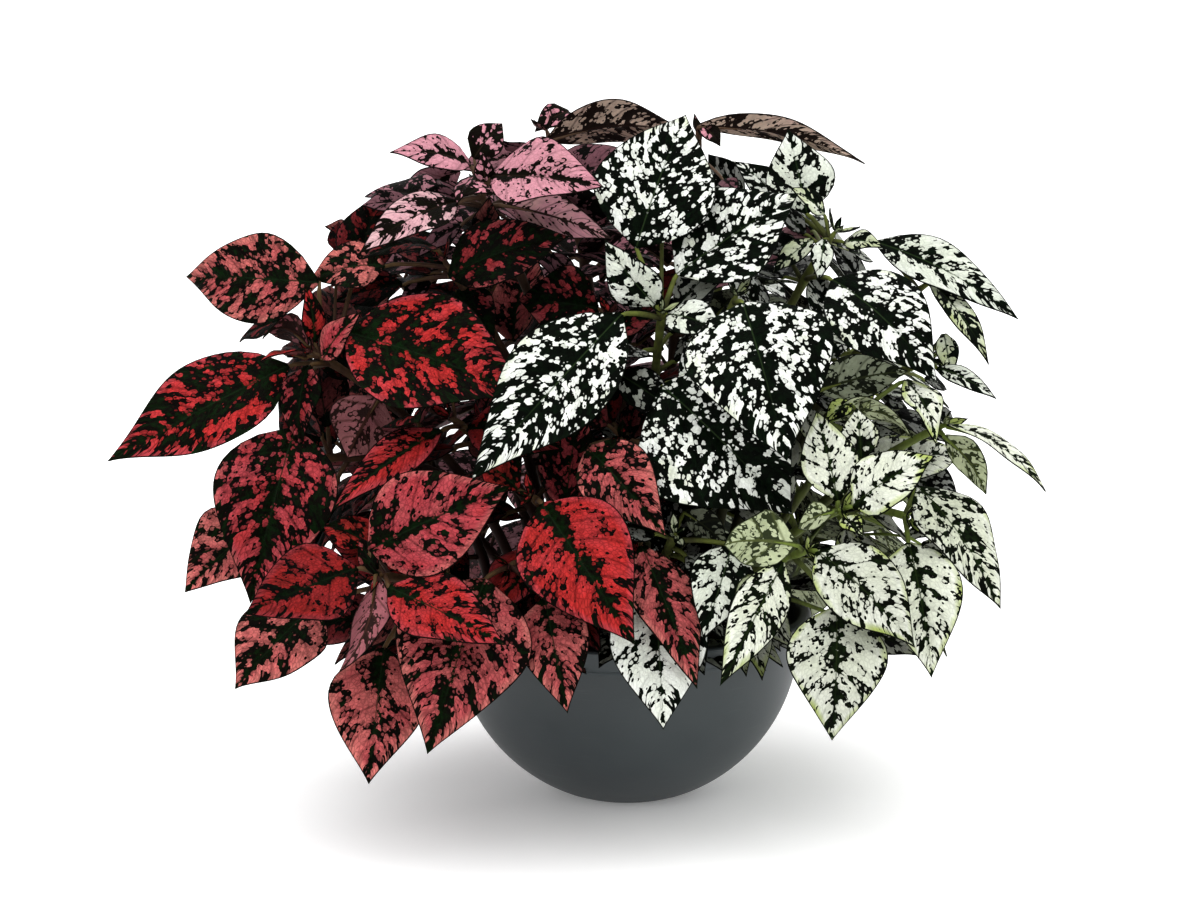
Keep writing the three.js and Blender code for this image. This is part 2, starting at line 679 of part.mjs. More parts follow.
// The petiole's rows of points, from inside the stem to short of the blade, two points to a row.
function petioleRows(leaf) {
  const base = bladePoint(leaf, 0, 0, leaf.number);
  const direction = base.clone().sub(leaf.root).normalize();
  const over = bladePoint(leaf, 0, 1, leaf.number).sub(bladePoint(leaf, 0, -1, leaf.number)).normalize();
  const upper = bladeNormal(leaf, 0, 0);
  over.addScaledVector(direction, -over.dot(direction));
  if (over.length() < LEAST_OVER) {
    over.crossVectors(direction, upper);
  }
  over.normalize();
  const normal = new THREE.Vector3().crossVectors(over, direction).normalize();
  const long = base.distanceTo(leaf.root) > LONG_PETIOLE;
  return (long ? [0, 0.5] : [0]).map((share) => [-1, 1].map((v) => {
    const point = leaf.root.clone().lerp(base, share).addScaledVector(over, v * PETIOLE_HALF_WIDTH);
    return { point, normal, thickness: PETIOLE_THICKNESS };
  }));
}

// How far along the blade its rows of points lie.
function bladeStations(length) {
  if (length > LARGE_LEAF) {
    return LARGE_STATIONS;
  }
  return length > SMALL_LEAF ? MIDDLE_STATIONS : SMALL_STATIONS;
}

// The triangles between two rows of points, whatever their counts.
function stitched(near, far) {
  const triangles = [];
  let i = 0;
  let j = 0;
  while (i + 1 < near.length || j + 1 < far.length) {
    const nearShare = i + 1 < near.length ? (i + 1) / (near.length - 1) : Infinity;
    const farShare = j + 1 < far.length ? (j + 1) / (far.length - 1) : Infinity;
    if (nearShare <= farShare) {
      triangles.push([near[i], near[i + 1], far[j]]);
      i += 1;
    } else {
      triangles.push([near[i], far[j + 1], far[j]]);
      j += 1;
    }
  }
  return triangles;
}

// The leaf as one closed strip from inside the stem to the blade's tip: both faces and the edge.
function leafSolid(leaf) {
  const bladeSpot = (t, v, thickness) =>
    ({ point: bladePoint(leaf, t, v, leaf.number), normal: bladeNormal(leaf, t, v), thickness });
  const foot = leaf.length > SMALL_LEAF ? [[-1, 1].map((v) => bladeSpot(0, v, PETIOLE_THICKNESS))] : [];
  const rows = [
    ...petioleRows(leaf),
    ...foot,
    ...bladeStations(leaf.length).map((t) => [-1, 0, 1].map((v) => bladeSpot(t, v, BLADE_THICKNESS))),
    [bladeSpot(1, 0, BLADE_THICKNESS)],
  ];
  const points = [];
  const layer = (sign) => rows.map((row) => row.map(({ point, normal, thickness }) =>
    points.push(point.clone().addScaledVector(normal, sign * 0.5 * thickness)) - 1));
  const top = layer(1);
  const bottom = layer(-1);
  const edge = [...top.map((row) => row[0]), ...top.map((row) => row.at(-1)).reverse()];
  const edgeBelow = [...bottom.map((row) => row[0]), ...bottom.map((row) => row.at(-1)).reverse()];
  const faces = [];
  for (let k = 0; k + 1 < rows.length; k += 1) {
    faces.push(...stitched(top[k], top[k + 1]));
    faces.push(...stitched(bottom[k], bottom[k + 1]).map(([a, b, c]) => [a, c, b]));
  }
  edge.forEach((corner, k) => {
    const next = (k + 1) % edge.length;
    if (corner !== edge[next]) {
      faces.push([corner, edge[next], edgeBelow[next]], [corner, edgeBelow[next], edgeBelow[k]]);
    }
  });
  const solid = solidFrom(points, faces);
  return solid.volume() < 0 ? solidFrom(points, faces.map(([a, b, c]) => [a, c, b])) : solid;
}

function stemSolid(curve, steps, footRadius) {
  const points = [];
  const faces = [];
  for (let step = 0; step <= steps; step += 1) {
    const u = step / steps;
    const centre = curve.getPoint(u);
    const axis = curve.getTangent(u);
    const first = new THREE.Vector3(0, 1, 0).cross(axis).normalize();
    const second = new THREE.Vector3().crossVectors(axis, first);
    const radius = footRadius + (STEM_TOP_RADIUS - footRadius) * u;
    for (let side = 0; side < STEM_SIDES; side += 1) {
      const angle = (2 * Math.PI * side) / STEM_SIDES;
      points.push(centre.clone()
        .addScaledVector(first, radius * Math.cos(angle))
        .addScaledVector(second, radius * Math.sin(angle)));
    }
  }
  for (let step = 0; step < steps; step += 1) {
    for (let side = 0; side < STEM_SIDES; side += 1) {
      const a = step * STEM_SIDES + side;
      const b = step * STEM_SIDES + (side + 1) % STEM_SIDES;
      faces.push([a, b, b + STEM_SIDES], [a, b + STEM_SIDES, a + STEM_SIDES]);
    }
  }
  const last = steps * STEM_SIDES;
  for (let side = 1; side + 1 < STEM_SIDES; side += 1) {
    faces.push([0, side + 1, side], [last, last + side, last + side + 1]);
  }
  return solidFrom(points, faces);
}

function leafyStem(stem) {
  const [main, ...shoots] = stem.curves;
  const parts = [
    stemSolid(main, STEM_STEPS, STEM_FOOT_RADIUS),
    ...shoots.map((shoot) => stemSolid(shoot, SHOOT_STEPS, SHOOT_RADIUS)),
    ...stem.leaves.map(leafSolid),
  ];
  return parts.reduce((whole, part) => whole.add(part));
}

function turned(profile, sides) {
  return new THREE.LatheGeometry(profile, sides).rotateX(Math.PI / 2);
}

function bowlRadiusAt(height, shrink) {
  const radius = BOWL_RADIUS - shrink;
  const below = Math.max(BOWL_CENTRE_HEIGHT - height, 0);
  return Math.sqrt(Math.max(radius ** 2 - below ** 2, 0));
}

const EVEN_SHARE = 0.55;

// Points up the bowl's wall, outside for a shrink of 0, or inside, closer together low down where
// the wall bends the most.
function wallPoints(from, to, steps, shrink) {
  const points = [];
  for (let step = 0; step <= steps; step += 1) {
    const share = step / steps;
    const height = from + (to - from) * share * (EVEN_SHARE + (1 - EVEN_SHARE) * share);
    points.push(new THREE.Vector2(bowlRadiusAt(height, shrink), height));
  }
  return points;
}

function potGeometry() {
  const bandFoot = POT_HEIGHT - RIM_BAND;
  const lipRadius = RIM_RADIUS - WALL - LIP_SLOPE;
  return turned([
    new THREE.Vector2(0, 0),
    new THREE.Vector2(BASE_RADIUS, 0),
    ...wallPoints(BASE_EDGE, bandFoot - BAND_STEP, OUTSIDE_STEPS, 0),
    new THREE.Vector2(RIM_RADIUS - BAND_TAPER, bandFoot),
    new THREE.Vector2(RIM_RADIUS, POT_HEIGHT - LIP_EDGE),
    new THREE.Vector2(RIM_RADIUS - LIP_EDGE, POT_HEIGHT),
    new THREE.Vector2(lipRadius, POT_HEIGHT),
    ...wallPoints(FLOOR_THICKNESS, SOIL_TOP, INSIDE_STEPS, WALL).reverse(),
    new THREE.Vector2(0, FLOOR_THICKNESS),
  ], POT_SIDES);
}

// Low lumps in the soil's top: two waves, each a height and its radians per millimetre each way.
const BROAD_LUMP = { height: 0.7, across: 0.21, deep: 0.17, start: 0.9 };
const SMALL_LUMP = { height: 0.4, across: 0.4, deep: 0.33 };

function soilLump(x, y) {
  const broad = Math.sin(BROAD_LUMP.across * x + BROAD_LUMP.start) * Math.cos(BROAD_LUMP.deep * y);
  const small = Math.sin(SMALL_LUMP.across * x - SMALL_LUMP.deep * y);
  return BROAD_LUMP.height * broad + SMALL_LUMP.height * small;
}

function soilGeometry() {
  const inner = WALL + SOIL_GAP;
  const edge = bowlRadiusAt(SOIL_TOP, inner);
  const profile = [
    new THREE.Vector2(0, FLOOR_THICKNESS + SOIL_GAP),
    ...wallPoints(FLOOR_THICKNESS + SOIL_GAP, SOIL_TOP, INSIDE_STEPS, inner),
    new THREE.Vector2(0.5 * edge, SOIL_TOP + 0.5 * SOIL_DOME),
    new THREE.Vector2(0, SOIL_TOP + SOIL_DOME),
  ];
  const geometry = turned(profile, POT_SIDES);
  const position = geometry.attributes.position;
  for (let k = 0; k < position.count; k += 1) {
    const x = position.getX(k);
    const y = position.getY(k);
    const z = position.getZ(k);
    if (z > SOIL_TOP + LUMPS_ABOVE_EDGE) {
      position.setZ(k, z + soilLump(x, y));
    }
  }
  return geometry;
}

function stemHole(stem) {
  const radius = STEM_FOOT_RADIUS + HOLE_CLEARANCE;
  const height = HOLE_DEPTH + HOLE_OVERSHOOT;
  const hole = new THREE.CylinderGeometry(radius + HOLE_FLARE, radius, height, HOLE_SIDES);
  const floor = SOIL_TOP - HOLE_DEPTH - HOLE_FLOOR_GAP;
  hole.rotateX(Math.PI / 2);
  hole.translate(stem.foot[0], stem.foot[1], floor + height / 2);
  return solidOf(hole);
}

function named(name, geometry, [colour, roughness]) {
  const material = new THREE.MeshStandardMaterial({ color: colour, roughness, metalness: 0 });
  const mesh = new THREE.Mesh(geometry, material);
  mesh.name = name;
  return mesh;
}

const stems = plantStems();
clearLeaves(stems);

const plant = new THREE.Group();
plant.add(named("pot", potGeometry(), POT_LOOK));
const soil = stems.reduce((body, stem) => body.subtract(stemHole(stem)), solidOf(soilGeometry()));
plant.add(named("soil", geometryOf(soil), SOIL_LOOK));
for (const stem of stems) {
  const look = [TINTS[stem.tint], LEAF_ROUGHNESS];
  plant.add(named(`stem_${stem.name}`, geometryOf(leafyStem(stem)), look));
}

export default plant;
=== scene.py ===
import math

import bpy
import numpy as np
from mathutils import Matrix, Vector
from mathutils.bvhtree import BVHTree


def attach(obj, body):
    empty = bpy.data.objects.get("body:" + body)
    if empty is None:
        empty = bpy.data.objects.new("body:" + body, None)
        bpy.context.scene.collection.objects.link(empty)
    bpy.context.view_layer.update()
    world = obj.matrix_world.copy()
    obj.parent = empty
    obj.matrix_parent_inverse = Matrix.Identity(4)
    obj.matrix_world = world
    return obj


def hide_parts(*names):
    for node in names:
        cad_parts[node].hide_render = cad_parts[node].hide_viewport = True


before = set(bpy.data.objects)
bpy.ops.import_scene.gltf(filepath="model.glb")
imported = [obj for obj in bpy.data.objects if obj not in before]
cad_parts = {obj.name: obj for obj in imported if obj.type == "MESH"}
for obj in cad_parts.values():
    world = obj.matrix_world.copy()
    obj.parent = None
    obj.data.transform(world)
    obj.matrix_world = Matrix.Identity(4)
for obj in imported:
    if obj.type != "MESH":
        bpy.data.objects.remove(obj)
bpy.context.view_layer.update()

MM = 0.001


# Camera and the plant's plan, the same as the solids'. Millimetres.

EYE = np.array([-9.5, -1083.0, 313.0])
LOOK_DOWN_DEGREES = 10.0
LENS_MM = 94.3
SENSOR_MM = 36.0
FURTHEST_SEEN_M = 10.0


def add_camera():
    data = bpy.data.cameras.new("camera")
    data.lens = LENS_MM
    data.sensor_width = SENSOR_MM
    data.clip_end = FURTHEST_SEEN_M
    camera = bpy.data.objects.new("camera", data)
    camera.location = EYE * MM
    camera.rotation_euler = (math.radians(90.0 - LOOK_DOWN_DEGREES), 0.0, 0.0)
    bpy.context.collection.objects.link(camera)
    bpy.context.scene.camera = camera


add_camera()

# Pot
POT_HEIGHT = 65.0
RIM_RADIUS = 65.0
RIM_BAND = 7.0
BOWL_RADIUS = 61.0
BOWL_CENTRE_HEIGHT = 57.5
BASE_RADIUS = 20.0
WALL = 3.0

# Soil
SOIL_TOP = 57.0
SOIL_DOME = 2.5
SOIL_GAP = 0.3
HOLE_DEPTH = 12.0

# Stems and leaves
STEM_FOOT_RADIUS = 2.1
STEM_TOP_RADIUS = 1.3
SHOOT_RADIUS = 1.5
COLLAR_HEIGHT = 1.0
STEM_LEAN = 0.15
STEM_RISE = 0.6
LEAST_RISE = 16.0
SHOOT_BEND = 0.45
STEM_STEPS = 7
STRAIGHT_SHARE = 1.0 / 7.0
SHOOT_STEPS = 4
SHOOT_AT = 0.42
JOINT_STEPS = 40
LOWEST_JOINT = 8
JOINT_DROP = 1.0
COST_OF_HEIGHT = 1.5
PETIOLE_HALF_WIDTH = 0.9
WIDEST_AT = 0.38
TIP_SHARPNESS = 1.12
WAVE_TURNS = 9.5
WAVE_STEP = 2.4
OTHER_MARGIN_STEP = 2.1
DEFAULT_FOLD = 0.2
DEFAULT_WAVE = 0.045
FIRST_YOUNG_NUMBER = 500
FIRST_INNER_NUMBER = 1000
FIRST_FILL_NUMBER = 3000

FACES = {
    "front": (0, -1, 0.3),
    "up": (0, -0.35, 1),
    "up_front": (0, -0.8, 0.7),
    "up_left": (-0.6, -0.45, 0.8),
    "up_right": (0.6, -0.45, 0.8),
    "front_left": (-0.6, -1, 0.3),
    "front_right": (0.6, -1, 0.3),
    "up_back": (0, 0.75, 0.75),
    "back": (0, 1, 0.25),
    "back_left": (-0.7, 0.9, 0.2),
    "back_right": (0.7, 0.9, 0.2),
}

# Each leafy stem: its name, tint, foot on the soil, the tips of the stem and its branches as seen,
# the pairs of inner leaves, and the leaves that show. A leaf's row holds its blade's base and tip as
# seen (across, up, depth), its width, the way its upper face looks, its arch, and where they are
# unusual its fold and wave.
FRONT_STEMS = [
    ["red_left", "red", [-34, -8], [[-110, 157, -42], [-118, 118, -42]], 1, [
        [[-107, 181, -40], [-153, 183, -8], 31, "front_left", 4, 0.15],
        [[-118, 152, -42], [-182, 118, -58], 35, "up_front", 1, 0.1],
        [[-109, 160, -42], [-112, 181, -46], 9, "front_right", 2],
        [[-111, 159, -42], [-127, 161, -50], 14, "up_back", 6],
        [[-112, 155, -44], [-128, 153, -58], 10, "up_left", 2],
        [[-111, 152, -46], [-114, 123, -56], 17, "front_left", 3],
        [[-106, 154, -45], [-92, 171, -52], 12, "up_front", 2],
        [[-117, 168, -24], [-135, 160, -14], 13, "up_left", 2],
        [[-98, 164, -48], [-34, 141, -68], 46, "up_front", 2],
        [[-116, 130, -50], [-133, 67, -74], 41, "front", 6, 0.3],
        [[-127, 99, -38], [-156, 71, -52], 31, "front_left", 1, 0.14],
    ]],
    ["red_low_left", "red", [-36, -30], [[-88, 77, -92]], 1, [
        [[-95, 80, -92], [-135, 63, -108], 30, "up_front", 1, 0.1],
        [[-84, 73, -94], [-43, 52, -120], 25, "up_front", 1, 0.1],
        [[-91, 86, -84], [-41, 109, -80], 35, "front", 8, 0.3],
        [[-91, 88, -78], [-107, 95, -72], 21, "up", 2, 0.1],
        [[-88, 79, -90], [-94, 91, -80], 8, "front_left", 1],
        [[-88, 77, -94], [-102, 42, -116], 16, "back_right", 4, 0.1],
        [[-110, 67, -72], [-139, 36, -90], 34, "front_left", 1, 0.1],
        [[-86, 51, -84], [-92, 1, -104], 32, "front", 2, 0.1],
    ]],
    ["red_mid", "red", [-20, -12], [[-62, 134, -50]], 0, [
        [[-65, 129, -58], [-104, 100, -78], 16, "up_front", 4],
        [[-86, 141, -48], [-98, 119, -60], 24, "back", 4],
        [[-61, 140, -46], [-66, 151, -36], 11, "up_front", 2],
        [[-56, 130, -50], [-22, 122, -58], 24, "up_front", 3],
    ]],
    ["red_top", "red", [-18, 6], [[-64, 189, -28]], 1, [
        [[-66, 193, -30], [-92, 189, -44], 16, "up", 3],
        [[-62, 183, -34], [-20, 197, -32], 27, "up_front", 4],
        [[-84, 187, -30], [-110, 182, -30], 20, "up_front", 3],
        [[-60, 178, -22], [-46, 160, -28], 18, "front", 3],
    ]],
    ["red_front", "red", [-10, -34], [[-34, 106, -76], [-42, 80, -78]], 1, [
        [[-30, 103, -80], [3, 52, -112], 38, "front", 5],
        [[-50, 76, -89], [-71, 12, -120], 44, "front", 5],
        [[-29, 69, -86], [-21, 27, -106], 24, "front", 4],
        [[-38, 108, -74], [-52, 118, -66], 14, "up_front", 2],
    ]],
    ["red_right", "red", [2, -16], [[-6, 170, -24], [-2, 126, -64], [4, 97, -74]], 0, [
        [[-14, 123, -72], [14, 91, -88], 25, "front", 7, 0.3],
        [[5, 88, -82], [25, 36, -106], 24, "front_right", 1, 0.1],
        [[-10, 172, -22], [-38, 175, -20], 26, "front", 3],
        [[-4, 163, -26], [12, 170, -30], 10, "up_front", 2],
    ]],
    ["pink_top", "pink", [-12, 18], [[-52, 214, -20]], 0, [
        [[-54, 222, -20], [-82, 226, -30], 15, "up_front", 3],
        [[-53, 224, -16], [-43, 236, -10], 13, "front", 3],
        [[-53, 218, -24], [-59, 208, -36], 8, "front_left", 1],
        [[-49, 216, -24], [-50, 226, -28], 7, "front", 1],
        [[-48, 214, -26], [-57, 211, -37], 7, "up_front", 1],
        [[-47, 218, -26], [-8, 214, -46], 28, "up_front", 2, 0.3],
        [[-43, 208, -20], [-5, 196, -34], 15, "back", 4],
        [[-59, 209, -26], [-93, 191, -52], 18, "up_front", 4],
    ]],
    ["pink_high", "pink", [0, 26], [[-28, 234, 18]], 2, [
        [[-28, 230, 14], [25, 230, -4], 23, "up_back", 7],
        [[-20, 240, 26], [-32, 233, 20], 11, "up_front", 2],
    ]],
    ["pink_right", "pink", [12, 20], [[25, 232, 6]], 2, [
        [[24, 235, 4], [82, 222, -14], 14, "up_back", 5, 0.3],
        [[26, 235, 4], [32, 228, -4], 7, "up_front", 1],
    ]],
    ["white_mid", "white", [6, -4], [[12, 171, -48]], 0, [
        [[3, 193, -42], [20, 239, -20], 42, "up_front", 4],
        [[17, 184, -44], [59, 212, -34], 37, "up_front", 1, 0.26],
        [[10, 173, -50], [-8, 196, -58], 18, "front_left", 2],
        [[14, 170, -50], [34, 163, -64], 16, "up_front", 2],
        [[12, 205, -26], [29, 218, -22], 8, "up_back", 2],
        [[-2, 170, -60], [-55, 111, -86], 37, "up_front", 1, 0.14],
        [[-3, 149, -50], [19, 134, -58], 14, "front", 3],
    ]],
    ["white_big", "white", [16, -22], [[38, 177, -52]], 0, [
        [[40, 174, -60], [56, 118, -94], 49, "front", 6],
        [[21, 161, -54], [55, 117, -76], 27, "front", 4],
        [[12, 145, -64], [58, 99, -78], 56, "front", 8, 0.3],
    ]],
    ["white_low", "white", [8, -36], [[17, 92, -78]], 0, [
        [[37, 88, -82], [27, 54, -98], 21, "front", 3],
        [[10, 73, -86], [13, 21, -102], 32, "front", 3],
        [[20, 100, -70], [36, 87, -78], 11, "back", 2],
    ]],
    ["white_right", "white", [28, -2], [[72, 199, -24], [66, 152, -46]], 1, [
        [[62, 205, -20], [55, 234, -12], 24, "up_front", 1, 0.1],
        [[68, 205, -26], [56, 214, -32], 9, "up_front", 1],
        [[64, 196, -26], [50, 184, -34], 9, "front_left", 1],
        [[68, 196, -28], [66, 181, -38], 8, "front", 1],
        [[75, 195, -24], [89, 193, -32], 9, "up_front", 2],
        [[56, 206, -10], [36, 223, -2], 13, "up_front", 3],
        [[71, 182, -42], [108, 146, -64], 34, "up_front", 6, 0.11],
        [[66, 143, -52], [98, 150, -64], 17, "back", 3],
    ]],
    ["white_far_right", "white", [40, 0], [[104, 181, -28], [106, 154, -40]], 1, [
        [[86, 195, -22], [136, 168, -36], 19, "up_front", 5],
        [[105, 181, -30], [126, 152, -48], 11, "front_right", 3],
        [[110, 163, -36], [113, 147, -46], 8, "front", 1],
        [[108, 151, -42], [129, 140, -54], 8, "up_front", 2],
    ]],
    ["cream_mid", "cream", [32, -28], [[76, 101, -90], [82, 136, -64]], 0, [
        [[74, 104, -88], [66, 136, -74], 19, "front", 3, 0.2, 0.09],
        [[78, 139, -62], [69, 132, -66], 8, "front_left", 1],
        [[82, 119, -80], [80, 137, -72], 13, "front", 2],
        [[69, 132, -68], [100, 126, -76], 13, "up_back", 8],
        [[97, 147, -58], [108, 124, -72], 14, "front_right", 3, 0.2, 0.1],
        [[79, 102, -92], [108, 120, -98], 22, "up_front", 3, 0.2, 0.09],
        [[76, 98, -92], [83, 91, -102], 8, "up_front", 1],
        [[72, 100, -93], [60, 94, -104], 10, "back_left", 2],
    ]],
    ["cream_low", "cream", [22, -38], [[64, 86, -96]], 0, [
        [[67, 86, -98], [102, 51, -116], 28, "up_front", 4, 0.2, 0.07],
        [[74, 66, -100], [73, 17, -114], 32, "front", 8, 0.16, 0.11],
        [[60, 88, -98], [34, 88, -110], 20, "back_left", 5, 0.2, 0.11],
        [[52, 75, -94], [37, 64, -100], 13, "back", 2],
        [[55, 82, -94], [33, 37, -110], 18, "front", 1, 0.1],
    ]],
    ["cream_right", "cream", [42, -16], [[111, 131, -52], [99, 98, -70]], 1, [
        [[112, 131, -54], [147, 107, -74], 13, "up_right", 4],
        [[111, 127, -55], [126, 106, -68], 13, "back_right", 3],
        [[102, 109, -64], [132, 65, -88], 26, "front_right", 4, 0.1, 0.07],
        [[99, 89, -76], [108, 40, -94], 28, "front", 8, 0.3, 0.07],
    ]],
]

# The stems of the far side: name, tint, foot on the soil, tip, and pairs of leaves.
BACK_STEMS = [
    ["red_side", "red", [-46, 6], [-88, 16, 134], 4],
    ["red_back_low", "red", [-38, 26], [-96, 64, 106], 4],
    ["red_back_top", "red", [-26, 34], [-60, 66, 160], 4],
    ["pink_back", "pink", [-8, 38], [-18, 62, 198], 4],
    ["pink_back_mid", "pink", [-2, 46], [-8, 92, 154], 3],
    ["pink_back_low", "pink", [-20, 46], [-42, 110, 112], 4],
    ["white_back", "white", [14, 34], [38, 56, 184], 4],
    ["white_back_low", "white", [20, 45], [48, 104, 112], 4],
    ["cream_back", "cream", [34, 28], [84, 56, 150], 4],
    ["cream_back_low", "cream", [42, 16], [106, 48, 98], 4],
    ["white_side", "white", [32, 12], [90, 16, 172], 3],
    ["red_side_top", "red", [-30, 16], [-86, 30, 184], 3],
]


# Geometry of the plan

def seen(place):
    """The point seen across and up from the viewpoint, at a depth behind the plane through the axis."""
    across, up, depth = place
    reach = (depth - EYE[1]) / (0 - EYE[1])
    return np.array([EYE[0] + (across - EYE[0]) * reach, depth, EYE[2] + (up - EYE[2]) * reach])


def as_seen(points):
    """The reverse of seen(), for many points."""
    reach = (0 - EYE[1]) / (points[..., 1] - EYE[1])
    across = EYE[0] + (points[..., 0] - EYE[0]) * reach
    up = EYE[2] + (points[..., 2] - EYE[2]) * reach
    return np.stack([across, up, points[..., 1]], axis=-1)


def slid(points, deeper):
    """Points pushed back along their lines of sight until they lie that much deeper."""
    step = deeper / (points[..., 1] - EYE[1])
    return points + (points - EYE) * step[..., None]


def unit(vector):
    return vector / np.linalg.norm(vector)


def curved(start, bend, end, u):
    """The point at u on the curve that leaves the start towards the bend and reaches the end from it."""
    return start * (1 - u) ** 2 + bend * 2 * u * (1 - u) + end * u ** 2


def square_to(axis, turn, tilt=0.0):
    """A direction square to the axis, turned about it from the level."""
    level = unit(np.array([axis[1], -axis[0], tilt]))
    upright = unit(np.cross(level, axis))
    return level * math.cos(turn) + upright * math.sin(turn)


class StemCurve:
    """Straight up out of the soil, then over to the tip."""

    steps = STEM_STEPS

    def __init__(self, foot, tip):
        self.foot = np.array([*foot, SOIL_TOP - HOLE_DEPTH])
        self.collar = np.array([*foot, SOIL_TOP + SOIL_DOME + COLLAR_HEIGHT])
        self.bend = self.collar + STEM_LEAN * (tip - self.collar)
        self.bend[2] = self.collar[2] + max(STEM_RISE * (tip[2] - self.collar[2]), LEAST_RISE)
        self.tip = tip

    def point(self, u):
        if u < STRAIGHT_SHARE:
            return self.foot + (self.collar - self.foot) * (u / STRAIGHT_SHARE)
        return curved(self.collar, self.bend, self.tip, (u - STRAIGHT_SHARE) / (1 - STRAIGHT_SHARE))

    def tangent(self, u):
        step = 0.0001
        return unit(self.point(min(u + step, 1.0)) - self.point(max(u - step, 0.0)))

    def shoot(self, tip):
        """A side shoot leaves the stem at this point and ends at its own tip."""
        start = self.point(SHOOT_AT)
        reach = SHOOT_BEND * np.linalg.norm(tip - start)
        return ShootCurve(start, start + self.tangent(SHOOT_AT) * reach, tip)


class ShootCurve:
    steps = SHOOT_STEPS

    def __init__(self, start, bend, tip):
        self.start = start
        self.bend = bend
        self.tip = tip

    def point(self, u):
        return curved(self.start, self.bend, self.tip, u)

    def tangent(self, u):
        return unit((self.bend - self.start) * (1 - u) + (self.tip - self.bend) * u)


def chord_point(curve, u):
    """The point at u of the straight lengths that stand for the curve in the solids."""
    whole = math.floor(u * curve.steps)
    here = curve.point(whole / curve.steps)
    after = curve.point((whole + 1) / curve.steps)
    return here + (after - here) * (u * curve.steps - whole)


def attachment(curves, base):
    """Where on the stem or its shoots a leaf is joined: close by and not above its blade's base."""
    points = [chord_point(curve, step / JOINT_STEPS)
              for curve in curves for step in range(LOWEST_JOINT, JOINT_STEPS)]

    def cost(point):
        too_high = max(0.0, point[2] - base[2] + JOINT_DROP)
        return np.linalg.norm(point - base) + COST_OF_HEIGHT * too_high

    return min(points, key=cost)


class Leaf:
    """A leaf from its root on the stem over its blade's base to its tip."""

    def __init__(self, root, base, tip, width, face, arch, fold=DEFAULT_FOLD, wave=DEFAULT_WAVE):
        self.root = root
        self.base = base
        self.tip = tip
        self.width = width
        self.arch = arch
        self.fold = fold
        self.wave = wave
        along = tip - base
        self.length = np.linalg.norm(along)
        direction = along / self.length
        normal = np.array(face, dtype=float)
        self.normal = unit(normal - direction * normal.dot(direction))
        self.side = np.cross(direction, self.normal)
        self.slide_base = 0.0
        self.slide_tip = 0.0
        self.number = 0
        self.look = None

    def half_width(self, t):
        swell = np.sin(np.pi * np.power(t, math.log(0.5) / math.log(WIDEST_AT)))
        blade = 0.5 * self.width * np.power(np.maximum(swell, 0.0), TIP_SHARPNESS)
        return np.maximum(blade, PETIOLE_HALF_WIDTH * (1 - t))

    def surface(self, t, v, crown=None):
        """The blade's middle surface: t runs from base to tip, v from one margin to the other."""
        half = self.half_width(t)
        margin = np.abs(v)
        phase = WAVE_STEP * self.number + np.where(v < 0, OTHER_MARGIN_STEP, 0.0)
        ripple = self.wave * self.width * margin * np.sin(WAVE_TURNS * t + phase) * np.sin(np.pi * t)
        rise = margin if crown is None else crown(margin)
        lift = self.arch * 4 * t * (1 - t) + self.fold * rise * half + ripple
        points = (self.base + (self.tip - self.base) * t[..., None]
                  + self.side * (v * half)[..., None] + self.normal * lift[..., None])
        return slid(points, self.slide_base * (1 - t) + self.slide_tip * t)


# Pairs of leaves down a stem
PAIR_SPACING = 0.12
PAIR_TURN = 1.35
PAIR_RISE = 0.55
PAIR_RISE_LOSS = 0.22
PAIR_PETIOLE = 3.0
PAIR_PETIOLE_SHARE = 0.1
TIP_DROOP = 0.16
LOWEST_TIP_SHARE = 0.4
FACE_LIFT = np.array([0.0, 0.0, 0.4])
PAIR_WIDTH_SHARE = 0.52
PAIR_ARCH_SHARE = 0.07
INWARD_LIMIT = 0.25
INNER_LENGTHS = [44, 46]
INNER_FROM = 0.72
INNER_TWIST = 0.4
BACK_LENGTHS = [20, 36, 50, 60]
BACK_FROM = 0.98
BACK_TWIST = 0.6


def pairs_below(curve, first, lengths, twist):
    """Pairs of leaves down a stem, each pair turned from the one above it. Below the top pair, a
    leaf that would grow in towards the middle of the plant is left out."""
    leaves = []
    for pair, size in enumerate(lengths):
        u = first - PAIR_SPACING * pair
        joint = curve.point(u)
        axis = curve.tangent(u)
        across = square_to(axis, PAIR_TURN * pair + twist)
        for out in (across, -across):
            outward = out[0] * joint[0] + out[1] * joint[1]
            if pair > 0 and outward < -INWARD_LIMIT * math.hypot(joint[0], joint[1]):
                continue
            heading = unit(out + axis * (PAIR_RISE - PAIR_RISE_LOSS * pair))
            base = joint + heading * (PAIR_PETIOLE + PAIR_PETIOLE_SHARE * size)
            tip = base + heading * size
            tip[2] = max(tip[2] - TIP_DROOP * size, LOWEST_TIP_SHARE * base[2])
            leaves.append(Leaf(attachment([curve], base), base, tip, PAIR_WIDTH_SHARE * size,
                               axis + FACE_LIFT, PAIR_ARCH_SHARE * size))
    return leaves


class Stem:
    def __init__(self, name, tint, curves, leaves):
        self.name = name
        self.tint = tint
        self.curves = curves
        self.leaves = leaves
        self.inner = []
        self.filling = []


def front_leaf(curves, base, tip, width, face, *form):
    base = seen(base)
    return Leaf(attachment(curves, base), base, seen(tip), width, FACES[face], *form)


